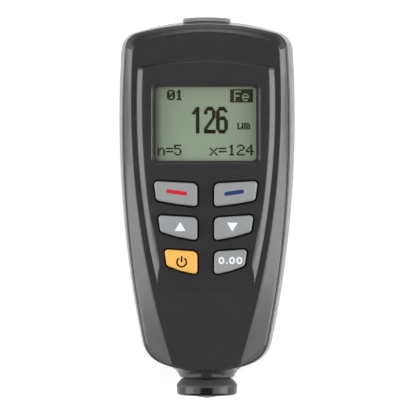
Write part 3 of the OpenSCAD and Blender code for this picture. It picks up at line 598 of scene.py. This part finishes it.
def facing(points):
    """How far each point of a clockwise outline faces +Y."""
    out = []
    for p, q in zip(points[-1:] + points[:-1], points[1:] + points[:1]):
        out.append((q[0] - p[0]) / math.hypot(q[0] - p[0], q[1] - p[1]))
    return out


def flank_height(w):
    """Height of the flank where it is w wide."""
    for (a, u), (b, v) in zip(FLANK_HEIGHTS, FLANK_HEIGHTS[1:]):
        if w <= b:
            return u + (v - u) * max(w - a, 0) / (b - a)
    return FACET_HIGH


def convex(t, crown):
    """Share of the height at the share t of the width, bulged, and rounded off at the inner edge."""
    if t <= FLANK_ROUND:
        return t * (1 + crown - crown * t)
    rest = 1 - FLANK_ROUND * (1 + crown - crown * FLANK_ROUND)
    slope = 1 + crown - 2 * crown * FLANK_ROUND
    end = 2 * rest / slope
    d = min(t - FLANK_ROUND, end)
    return 1 - rest + slope * (d - d * d / (2 * end))


def facet(x, y):
    """Height of the flank carried on round the lower corner, by the distance from the face's side."""
    d = math.hypot(abs(x) - FACE.half_w + FACE.side_r, y - FACE.wide_y) - FACE.side_r
    return FACE_Z - FACET_HIGH * (1 - convex(1 - max(d, -1) / FACET_W, FLANK_CROWN))


def smaller(a, b, soft):
    """The smaller of two heights, with the corner between them rounded."""
    h = max(soft - abs(a - b), 0) / soft
    return min(a, b) - h * h * soft / 4


def flank(t):
    """Ring at the share t of the way from the joint to the face, steep at the lower corners' joint."""
    edge = outline(inset(JOINT, EDGE_INSET))
    out = []
    for p, q, n in zip(edge, outline(FACE), facing(edge)):
        w = math.hypot(q[0] - p[0], q[1] - p[1])
        up = ease(0.3, 0.85, n)
        shoulder = SHOULDER_HIGH * ease(0.08, 0.3, n) * ease(0.98, 0.8, n)
        high = flank_height(w) * (1 - up) + TOP_HIGH * up + shoulder
        crown = FLANK_CROWN + 0.1 * ease(2.5, 2.0, w) + 0.1 * up
        wide = min(max((w - 2.4) / 3, 0), 1)
        roll = ROLL_HIGH * wide * (1 - math.exp(-t * w / 0.4)) * max(1 - t, 0) ** 2
        x, y = p[0] + (q[0] - p[0]) * t, p[1] + (q[1] - p[1]) * t
        z = FACE_Z - high * (1 - convex(t, crown)) + roll
        wall = FACE_Z - high + t * max(3.5 * w, 1.15 * high)
        corner = ease(0.2, 0.3, -n)
        out.append((x, y, z + corner * (smaller(facet(x, y), wall, 0.15) - z)))
    return out


def lowered(d, drop):
    """Ring on the joint's outline moved in by d, below the flank's edge by the drop."""
    return [(x, y, z - drop) for (x, y), (_, _, z) in zip(outline(inset(JOINT, d)), flank(0))]


def panel_slope(side, soft, top):
    """Ring on the panel's slope: a small step at the foot of the sides, a long roll near the lower end."""
    edge = outline(PANEL_FOOT)
    rings = [outline(mix(PANEL_FOOT, PANEL_EDGE, profile[0])) for profile in (side, soft, top)]
    out = []
    for k, n in enumerate(facing(edge)):
        down, up = ease(0.35, 0.8, -n), ease(0.35, 0.8, n)
        low = ease(-4, -16, edge[k][1]) * (1 - down)
        share = (1 - low - up, low, up)
        x, y = (sum(f * ring[k][i] for f, ring in zip(share, rings)) for i in (0, 1))
        z = share[0] * (side[2] + (side[1] - side[2]) * down) + low * soft[1] + up * top[1]
        out.append((x, y, round(FACE_Z + z, 5)))
    return out


def window_cutters():
    """The lens's pocket with its chamfer, and the opening under it."""
    gap, edge = 0.1, 0.34
    profile = ((gap, WINDOW_FLOOR_Z), (gap, PANEL_Z - 0.15), (0.22, PANEL_Z - 0.03), (edge, PANEL_Z + 0.02),
               (edge, ABOVE_Z))
    pocket = [(rounded_box(WINDOW_W, WINDOW_L, DISPLAY_Y, WINDOW_R, d), z) for d, z in profile]
    return [loft("pocket", pocket),
            prism("view", rounded_box(VIEW_W, VIEW_L, DISPLAY_Y, VIEW_R), INSIDE_Z, ABOVE_Z)]


def key_hole(row, side):
    """Hole round a key, with its upper edge broken."""
    gap, edge = 0.46, 0.6
    profile = ((gap, INSIDE_Z), (gap, PANEL_Z - 0.2), (0.5, PANEL_Z - 0.08), (edge, PANEL_Z + 0.01),
               (edge, ABOVE_Z))
    return loft("key_hole", [(key_outline(row, side, d), z) for d, z in profile])


def front_cover():
    inside = outline(inset(JOINT, WALL))
    rings = [(outline(inset(FACE, 0.7)), CEILING_Z), (inside, SHELL_STEP_Z), (inside, SHELL_LOW_Z),
             (outline(inset(JOINT, LIP_INSET)), SHELL_LOW_Z), lowered(LIP_INSET, 0.1), lowered(0.2, 0.04)]
    rings += [flank(t) for t in FLANK_SHARES]
    rings.append((outline(inset(PANEL_FOOT, -0.3)), FACE_Z))
    rings += [panel_slope(*row) for row in PANEL_PROFILE]
    ob = loft("front_shell", rings)
    holes = [key_hole(row, side) for row in range(len(KEY_ROWS)) for side in (-1, 1)]
    boolean(ob, window_cutters() + holes)
    attach(crisp(ob), "case", CASE, "case", "front_cover")


# Rear cover

# Rounded back up to the widest height, sides up to the lip, lip that rolls in to the joint
BACK_POWER, BACK_INSET, WIDE_Z = 2.63, 6.6, 9.5
LIP_Z, LIP_HIGH, LIP_OUT, LIP_POWER = 19.1, 1.75, 0.6, 1.4
GROOVE_Z, BACK_T = 20.3, 1.8
BACK_STEPS, SIDE_STEPS, LIP_STEPS = 24, 12, 9


def rear_rings():
    """Rings up the outside of the shell, over its lip and down the inside."""
    rings = []
    for k in range(BACK_STEPS + 1):
        a = math.radians(90 * k / BACK_STEPS)
        d = BACK_INSET * (1 - math.sin(a) ** (2 / BACK_POWER))
        rings.append((outline(inset(WIDEST, d)), WIDE_Z * (1 - max(math.cos(a), 0) ** (2 / BACK_POWER))))
    lip = inset(JOINT, -LIP_OUT)
    for k in range(1, SIDE_STEPS + 1):
        t = k / SIDE_STEPS
        rings.append((outline(mix(WIDEST, lip, t ** LIP_POWER)), WIDE_Z + (LIP_Z - WIDE_Z) * t))
    for k in range(1, LIP_STEPS + 1):
        a = math.radians(90 * k / LIP_STEPS)
        rings.append((outline(inset(JOINT, -LIP_OUT * math.cos(a))), LIP_Z + LIP_HIGH * math.sin(a)))
    groove = ((0.02, GROOVE_Z + 0.5), (0.03, GROOVE_Z), (WALL, GROOVE_Z))
    rings += [(outline(inset(JOINT, d)), z) for d, z in groove]
    rings.append((outline(inset(mix(WIDEST, JOINT, 0.6), WALL)), 17.32))
    inside = ((WALL, WIDE_Z), (2.79, 4), (4.44, 2.3), (7.74, BACK_T))
    rings += [(outline(inset(WIDEST, d)), z) for d, z in inside]
    return rings


def neck():
    """Neck of the nose: flared where it leaves the case, with a rounded lip, and oval at its end."""
    inner_r, root_r, root_y = 3, 8.85, -45.8
    lip_r, lip_y, lip_w, lip_l = 7.95, -51.0, 0.99, 0.69
    mouth_r, mouth_y = 7.58, -51.48
    profile = [(inner_r, root_y), (root_r, root_y), (root_r, -48.4)]
    profile += bend((9.95, -48.85), (9.05, -49.25), (8.95, -50.1))
    for degrees in range(0, 91, 6):
        a = math.radians(degrees)
        profile.append((lip_r + lip_w * math.cos(a), lip_y - lip_l * math.sin(a)))
    profile += [(mouth_r, lip_y - lip_l), (mouth_r, mouth_y), (inner_r, mouth_y)]
    ob = turned("neck", profile)
    for vert in ob.data.vertices:
        y = vert.co.y / MM
        vert.co.x *= 1 + 0.03 * ease(-50.4, -49.4, y) - 0.055 * ease(-49.9, -51.0, y)
    return ob


def top_arc():
    """The case's upper end across the port's pad, left to right."""
    out = []
    for k in range(PAD_STEPS + 1):
        x = -PAD_HALF_W + 2 * PAD_HALF_W * k / PAD_STEPS
        out.append((x, math.sqrt(WIDEST.top_r ** 2 - x * x) - (WIDEST.top_r - WIDEST.top_y)))
    return out


def port_pad():
    """Sloped pad above the port's cover."""
    root_y = WIDEST.top_y - 3
    root = [(PAD_HALF_W, root_y), (-PAD_HALF_W, root_y)]
    slope = ((0, 8.0), (0.5, 16.3), (1.08, 18.4), (1.32, 19.0))
    return loft("pad", [([(x, y - d) for x, y in top_arc()] + root, z) for d, z in slope])


def port_cutters():
    """Recess for the port's cover, the tunnel to the socket and the groove for the cover's hinge."""
    recess = [(x * RECESS_HALF_W / PAD_HALF_W, y - RECESS_DEPTH) for x, y in top_arc()]
    recess += [(RECESS_HALF_W, OUTSIDE_Y), (-RECESS_HALF_W, OUTSIDE_Y)]
    low, high = PORT_Z - TUNNEL_H / 2, PORT_Z + TUNNEL_H / 2
    tunnel = [(TUNNEL_Y, low), (OUTSIDE_Y, low), (OUTSIDE_Y, high), (TUNNEL_Y, high)]
    return [prism("recess", recess, RECESS_LOW_Z, ABOVE_Z), bar("tunnel", tunnel, TUNNEL_HALF_W),
            bar("groove", circle((FLAP_HINGE_Y, FLAP_HINGE_Z), FLAP_HINGE_R), FLAP_HINGE_HALF_W)]


def bay_box(edge, radii):
    """The cells' space, widened by an edge all round."""
    return rounded_box(CELLS_W + 2 * edge, CELLS_L + 2 * edge, BAY_Y, radii)


def finger_notch():
    """Ball that cuts the finger notch at the battery door's upper end."""
    bpy.ops.mesh.primitive_uv_sphere_add(segments=96, ring_count=64, radius=NOTCH_R * MM,
                                         location=(0, NOTCH_Y * MM, NOTCH_Z * MM))
    ob = bpy.context.object
    ob.data.transform(ob.matrix_world)
    ob.matrix_world = Matrix()
    return ob


def rear_cover():
    ob = loft("rear_shell", rear_rings())
    parts = [neck(),
             prism("bay", bay_box(BAY_WALL, 1.2), BAY_LOW_Z, CELLS_TOP_Z + BAY_WALL),
             prism("frame", bay_box(DOOR_EDGE + FRAME_EDGE, 2.5), FRAME_LOW_Z, FRAME_TOP_Z),
             port_pad()]
    parts += [prism("post", circle(place, POST_R), POST_LOW_Z, POST_TOP_Z) for place in SCREWS]
    boolean(ob, parts, "UNION")
    cutters = [prism("cells", bay_box(0, 0.8), BELOW_Z, CELLS_TOP_Z),
               prism("door", bay_box(DOOR_EDGE, (1.8, 1.8, 0.4, 0.4)), BELOW_Z, DOOR_T),
               bar("pins", circle((DOOR_HINGE_Y, DOOR_HINGE_Z), DOOR_HINGE_R), DOOR_HINGE_HALF_W),
               turned("stem", [(0.001, -70), (STEM_BORE_R, -70), (STEM_BORE_R, -30), (0.001, -30)])]
    cutters += port_cutters()
    for place in SCREWS:
        cutters.append(prism("head", circle(place, HEAD_R), BELOW_Z, HEAD_TOP_Z))
        cutters.append(prism("hole", circle(place, HOLE_R), BELOW_Z, HOLE_TOP_Z))
    cutters.append(finger_notch())
    boolean(ob, cutters)
    attach(crisp(ob), "case", CASE, "case", "rear_cover")


# Probe

def probe_sleeve():
    """Sleeve with a rounded end band, a cone, a stem in the neck and a V groove across its end."""
    end, top_y, step_y = SLEEVE_END_Y, -39.9, SLEEVE_END_Y + 6.4
    bore_r, inner_r, band_r = 4.73, 5.75, 9.2
    profile = [(bore_r, end), (8.1, end)]
    profile += bend((8.25, end), (band_r, end), (band_r, end + 0.95))
    profile += bend((band_r, end + 2.85), (band_r, end + 3.22), (8.8, end + 3.68), 8)
    profile += [(7.84, end + 4.82), (7.76, end + 4.9), (7.64, STEM_Y), (6.9, STEM_Y), (6.85, end + 5.2)]
    profile += [(STEM_R, end + 5.2), (STEM_R, top_y), (inner_r, top_y), (inner_r, step_y), (bore_r, step_y)]
    ob = turned("sleeve", profile)
    vee = [(end + 1.1, PROBE_Z), (end - 1, PROBE_Z - 3.675), (end - 1, PROBE_Z + 3.675)]
    boolean(ob, [bar("vee", vee, 15)])
    attach(crisp(ob, 28), "case", SLEEVE, "sleeve", "probe_sleeve")


def probe_spring():
    """Helix that fills the spring's box; the real spring shortens as the plunger's flange comes up against
    it, but this one stays as built.
    """
    wire, turns, sides, steps, travel = 0.26, 5, 12, 180, 1.0
    low, high = ([c / MM for c in corner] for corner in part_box("probe_spring"))
    r = high[0] - wire
    rings = []
    for k in range(steps + 1):
        a = math.radians(-360 * turns * k / steps)
        y = low[1] + wire + (high[1] - low[1] - 2 * wire) * k / steps
        ring = []
        for i in range(sides):
            b = math.radians(360 * i / sides)
            out = r + wire * math.cos(b)
            ring.append((out * math.cos(a), y + wire * math.sin(b), PROBE_Z + out * math.sin(a)))
        rings.append(ring)
    ob = attach(loft("spring", rings), "case", STEEL, "screw", "probe_spring")
    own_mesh(ob)


front_cover()
rear_cover()
probe_sleeve()
probe_spring()


# Keys and their marks

KEYS = (("key_soft_left", 0, -1, "soft_left_key", KEY_GREY, "key_grey"),
        ("key_soft_right", 0, 1, "soft_right_key", KEY_GREY, "key_grey"),
        ("key_up", 1, -1, "up_key", KEY_GREY, "key_grey"),
        ("key_down", 1, 1, "down_key", KEY_GREY, "key_grey"),
        ("key_power", 2, -1, "power_key", KEY_AMBER, "key_amber"),
        ("key_zero", 2, 1, "zero_key", KEY_GREY, "key_grey"))
DASH_W, ARROW_R, SIGN_W = 1.2, 0.12, 0.5
SIGN_X, SIGN_Y, SIGN_R = -7.18, -16.35, 1.4
ZERO_Y, ZERO_W, ZERO_H, ZERO_STROKE = -15.86, 1.75, 2.15, 0.5


def key_profile():
    """Flange under the cover, straight side and rounded edge: how far out, and the height."""
    out = [(KEY_FLANGE, KEY_FLANGE_LOW_Z), (KEY_FLANGE, KEY_FLANGE_TOP_Z), (0.0, KEY_FLANGE_TOP_Z),
           (0.0, KEY_TOP_Z - KEY_EDGE_R - 0.04)]
    steps = 7
    for k in range(1, steps + 1):
        a = math.radians(90 * k / steps)
        out.append((-KEY_EDGE_R * (1 - math.cos(a)), KEY_TOP_Z - KEY_EDGE_R * (1 - math.sin(a))))
    return out


def stroke(start, end, w):
    """Bar with round ends."""
    a = bearing(end, start)
    return arc(end, w / 2, a + 90, a - 90, 10) + arc(start, w / 2, a - 90, a - 270, 10)


def open_ring(centre, r, w, start, end):
    return arc(centre, r + w / 2, start, end, 28) + arc(centre, r - w / 2, end, start, 28)


def numeral_zero(x):
    """A 0 about x, as its right and left half."""
    def half(r, side):
        upper = arc((x, ZERO_Y + ZERO_H / 2 - ZERO_W / 2), r, 90, 90 - 90 * side, 12)
        return upper + arc((x, ZERO_Y - ZERO_H / 2 + ZERO_W / 2), r, 90 - 90 * side, 90 - 180 * side, 12)
    return [half(ZERO_W / 2, side) + half(ZERO_W / 2 - ZERO_STROKE, side)[::-1] for side in (1, -1)]


def mark(name, shapes, body, finish):
    """Thin inlay in the top of a key."""
    verts, faces = [], []
    for points in shapes:
        n, k = len(points), len(verts)
        verts += [(x, y, KEY_TOP_Z - 0.05) for x, y in points] + [(x, y, KEY_TOP_Z + 0.02) for x, y in points]
        faces += [tuple(range(k, k + n)), tuple(range(k + 2 * n - 1, k + n - 1, -1))]
        faces += [(k + i, k + n + i, k + n + (i + 1) % n, k + (i + 1) % n) for i in range(n)]
    attach(new_object(name, verts, faces, smooth=False), body, finish, "key_grey")


for name, row, side, body, finish, slot in KEYS:
    cap = loft(name + "_cap", [(key_outline(row, side, d), z) for d, z in key_profile()])
    attach(crisp(cap), body, finish, slot, name)

up_arrow = [(-7.64, -4.3), (-5.98, -7.04), (-9.3, -7.04)]
down_arrow = [(6.36, -4.53), (9.56, -4.53), (7.96, -7.25)]
power_sign = [open_ring((SIGN_X, SIGN_Y), SIGN_R, SIGN_W, 55, -235),
              stroke((SIGN_X, SIGN_Y + 1.6), (SIGN_X, SIGN_Y + 0.15), SIGN_W)]
decimal_point = stroke((6.3, -16.62), (6.32, -16.62), 0.56)
mark("dash_red", [stroke((-11.2, 4.86), (-6.15, 4.17), DASH_W)], "soft_left_key", INK_RED)
mark("dash_blue", [stroke((6.15, 4.08), (10.9, 4.77), DASH_W)], "soft_right_key", INK_BLUE)
mark("arrow_up", [rounded(up_arrow, (ARROW_R,) * 3)], "up_key", INK_WHITE)
mark("arrow_down", [rounded(down_arrow, (ARROW_R,) * 3)], "down_key", INK_WHITE)
mark("power_sign", power_sign, "power_key", INK_BROWN)
mark("zero_legend", numeral_zero(4.72) + [decimal_point] + numeral_zero(7.9) + numeral_zero(10.1),
     "zero_key", INK_WHITE)


# Display

# Dot letters, row by row from the top, with the dots of a row as the bits of a number
FONT_W, FONT_H = 5, 7
FONT = {"0": (14, 17, 19, 21, 25, 17, 14), "1": (4, 12, 4, 4, 4, 4, 14), "2": (14, 17, 1, 6, 8, 16, 31),
        "4": (2, 6, 10, 18, 31, 2, 2), "5": (31, 16, 30, 1, 1, 17, 14), "=": (0, 0, 31, 0, 31, 0, 0),
        "F": (31, 16, 16, 30, 16, 16, 16), "e": (0, 0, 14, 17, 31, 16, 14), "n": (0, 0, 22, 25, 17, 17, 17),
        "x": (0, 0, 17, 10, 4, 10, 17), "u": (0, 0, 17, 17, 17, 19, 29), "m": (0, 0, 26, 21, 21, 21, 21)}
TALL_W, TALL_H = 8, 14
TALL = {"1": (24, 56, 120, 216, 24, 24, 24, 24, 24, 24, 24, 24, 24, 24),
        "2": (60, 126, 195, 195, 3, 3, 6, 12, 24, 48, 96, 192, 255, 255),
        "6": (60, 126, 195, 192, 192, 220, 254, 195, 195, 195, 195, 195, 126, 60)}


def letter_dots(text, font, columns, rows):
    """Dots (column, row) of a line of text, with an empty column between letters."""
    return [((columns + 1) * k + c, r) for k, letter in enumerate(text) for r in range(rows)
            for c in range(columns) if font[letter][r] >> (columns - 1 - c) & 1]


def dot_boxes(dots, x, y, dot_w, dot_h, wide=1.0):
    """Rectangles for dots, from the top left corner, each as many dots wide."""
    return [(x + c * dot_w, y - (r + 1) * dot_h, x + (c + wide) * dot_w, y - r * dot_h) for c, r in dots]


def words(text, x0, y0, x1, y1, wide=1.4):
    """Dot matrix text that fills a box."""
    dot_w, dot_h = (x1 - x0) / ((FONT_W + 1) * len(text) - 1), (y1 - y0) / FONT_H
    return dot_boxes(letter_dots(text, FONT, FONT_W, FONT_H), x0, y1, dot_w, dot_h, wide)


def tall_digits(text, x0, y0, x1, y1):
    """Bold digits that fill a box."""
    dot_w, dot_h = (x1 - x0) / ((TALL_W + 1) * len(text) - 1), (y1 - y0) / TALL_H
    return dot_boxes(letter_dots(text, TALL, TALL_W, TALL_H), x0 - 0.25 * dot_w, y1, dot_w, dot_h, 1.75)


def inverse(text, x0, y0, x1, y1, columns, rows):
    """Dark box with dot letters left out of it."""
    left, top = (columns - (FONT_W + 1) * len(text) + 1) // 2, (rows - FONT_H) // 2
    light = {(left + c, top + r) for c, r in letter_dots(text, FONT, FONT_W, FONT_H)}
    dark = [(c, r) for c in range(columns) for r in range(rows) if (c, r) not in light]
    return dot_boxes(dark, x0, y1, (x1 - x0) / columns, (y1 - y0) / rows)


def ink(name, boxes):
    """Thin blocks of ink on the glass."""
    verts, faces = [], []
    sides = ((3, 2, 1, 0), (4, 5, 6, 7), (0, 1, 5, 4), (1, 2, 6, 5), (2, 3, 7, 6), (3, 0, 4, 7))
    for x0, y0, x1, y1 in boxes:
        k = len(verts)
        corners = ((x0, y0), (x1, y0), (x1, y1), (x0, y1))
        verts += [(x, y, z) for z in (INK_LOW_Z, INK_TOP_Z) for x, y in corners]
        faces += [tuple(k + i for i in side) for side in sides]
    attach(new_object(name, verts, faces, smooth=False), "case", LCD_INK, "lcd")


ink("lcd_group", words("01", -11.7, 32.1, -7.2, 35.1, 1.9))
ink("lcd_flag", inverse("Fe", 7.23, 31.4, 14.1, 35.3, 17, 9))
ink("lcd_reading", tall_digits("126", -4.22, 22.33, 6.33, 30.16))
ink("lcd_unit", words("um", 9.34, 23.5, 13.0, 26.3, 1.5))
ink("lcd_count", words("n=5", -14.6, 15.9, -7.6, 19.1))
ink("lcd_mean", words("x=124", 1.0, 15.9, 14.1, 19.1))


# Carried-over nodes

EDGES = {"battery_door": 0.15, "usb_cover": 0.3, "display_lens": 0.1, "case_screws": 0.08}
SMOOTH = smooth_by_angle(SHARP_ANGLE)
for node_name, finish in FINISH.items():
    node = NODE[node_name]
    node.data.materials.clear()
    node.data.materials.append(finish)
    weld(node)
    if node_name in EDGES:
        soften(node, EDGES[node_name])
    shading = node.modifiers.new("shading", "NODES")
    shading.node_group = SMOOTH


# Stage, light and camera, in metres

# The floor's added white grows from near to far
FLOOR_R, FLOOR_Z = 30, -0.0002
NEAR, FAR, NEAR_WHITE = 0.4, 0.7, 0.5

# The sky's white at the horizon fades to the level of its light between two heights of the view direction
SKY_LEVEL, HORIZON_TOP, HORIZON_FADE = 0.2, 0.08, 0.2

# Lamps: name, place, width, height and power in watts
SOFTBOXES = (("softbox_left_low", (-0.7375, 0.02, 0.295), 0.60, 0.483, 4.0),
             ("softbox_left_high", (-0.486, 0.02, 0.6345), 0.60, 0.394, 1.65),
             ("softbox_right_low", (0.7375, 0.02, 0.295), 0.60, 0.483, 4.35),
             ("softbox_right_high", (0.486, 0.02, 0.6345), 0.60, 0.394, 1.8),
             ("softbox_top", (0, 0.6625, 0.442), 0.25, 0.49, 0.75))
LIGHT_AIM = Vector((0, 0, 0.012))
VIEW_AIM = Vector((0.00014, 0, 0.0095))
VIEW_TILT, VIEW_DISTANCE, VIEW_SPAN, SENSOR_W = math.radians(1.35), 0.9, 0.1266, 36


def floor():
    """Pale floor that keeps the shadow, with white added where it is seen, and all of it far away."""
    s = Shader("studio_floor", Roughness=0.9, Emission_Color=(1, 1, 1, 1))
    s.link(s.blend(s.noise(3, 4), lin(238, 238, 238), lin(243, 243, 243)), "Base Color")
    away = add_node(s.tree, "VectorMath", Vector=s.coords)
    away.operation = "LENGTH"
    white = s.span(away.outputs["Value"], NEAR_WHITE, 1, NEAR, FAR)
    s.link(calculate(s.tree, "MULTIPLY", seen_rays(s.tree), white), "Emission Strength")
    bm = bmesh.new()
    bmesh.ops.create_circle(bm, cap_ends=True, segments=96, radius=FLOOR_R)
    mesh = bpy.data.meshes.new("floor")
    bm.to_mesh(mesh)
    bm.free()
    mesh.materials.append(s.mat)
    ob = bpy.data.objects.new("floor", mesh)
    ob.location = (0, 0, FLOOR_Z)
    SCENE.collection.objects.link(ob)


def softbox(name, place, width, height, power):
    light = bpy.data.lights.new(name, "AREA")
    light.shape, light.size, light.size_y, light.energy = "RECTANGLE", width, height, power
    ob = bpy.data.objects.new(name, light)
    ob.location = place
    ob.rotation_mode = "QUATERNION"
    ob.rotation_quaternion = (LIGHT_AIM - Vector(place)).to_track_quat("-Z", "Y")
    ob.visible_camera = False
    SCENE.collection.objects.link(ob)


def studio_world():
    """Even grey light, white near the horizon where it is seen."""
    world = bpy.data.worlds.new("studio")
    world.use_nodes = True
    tree = world.node_tree
    background = tree.nodes["Background"].inputs
    background["Color"].default_value = (1, 1, 1, 1)
    direction = tree.nodes.new("ShaderNodeTexCoord").outputs["Generated"]
    height = add_node(tree, "SeparateXYZ", Vector=direction).outputs["Z"]
    shown = map_range(tree, height, 1, SKY_LEVEL, HORIZON_TOP, HORIZON_FADE)
    level = map_range(tree, seen_rays(tree), SKY_LEVEL, shown, 0, 1)
    tree.links.new(level, background["Strength"])
    SCENE.world = world


def view_camera():
    """Camera above the face, a little to its right."""
    camera = bpy.data.cameras.new("camera")
    camera.sensor_width = SENSOR_W
    camera.lens = SENSOR_W * VIEW_DISTANCE / VIEW_SPAN
    camera.clip_start, camera.clip_end = 0.05, 100
    eye = bpy.data.objects.new("camera", camera)
    eye.location = VIEW_AIM + Vector((math.sin(VIEW_TILT), 0, math.cos(VIEW_TILT))) * VIEW_DISTANCE
    eye.rotation_euler = (0, VIEW_TILT, 0)
    SCENE.collection.objects.link(eye)
    SCENE.camera = eye


floor()
for box in SOFTBOXES:
    softbox(*box)
studio_world()
view_camera()
SCENE.view_settings.view_transform = "Standard"
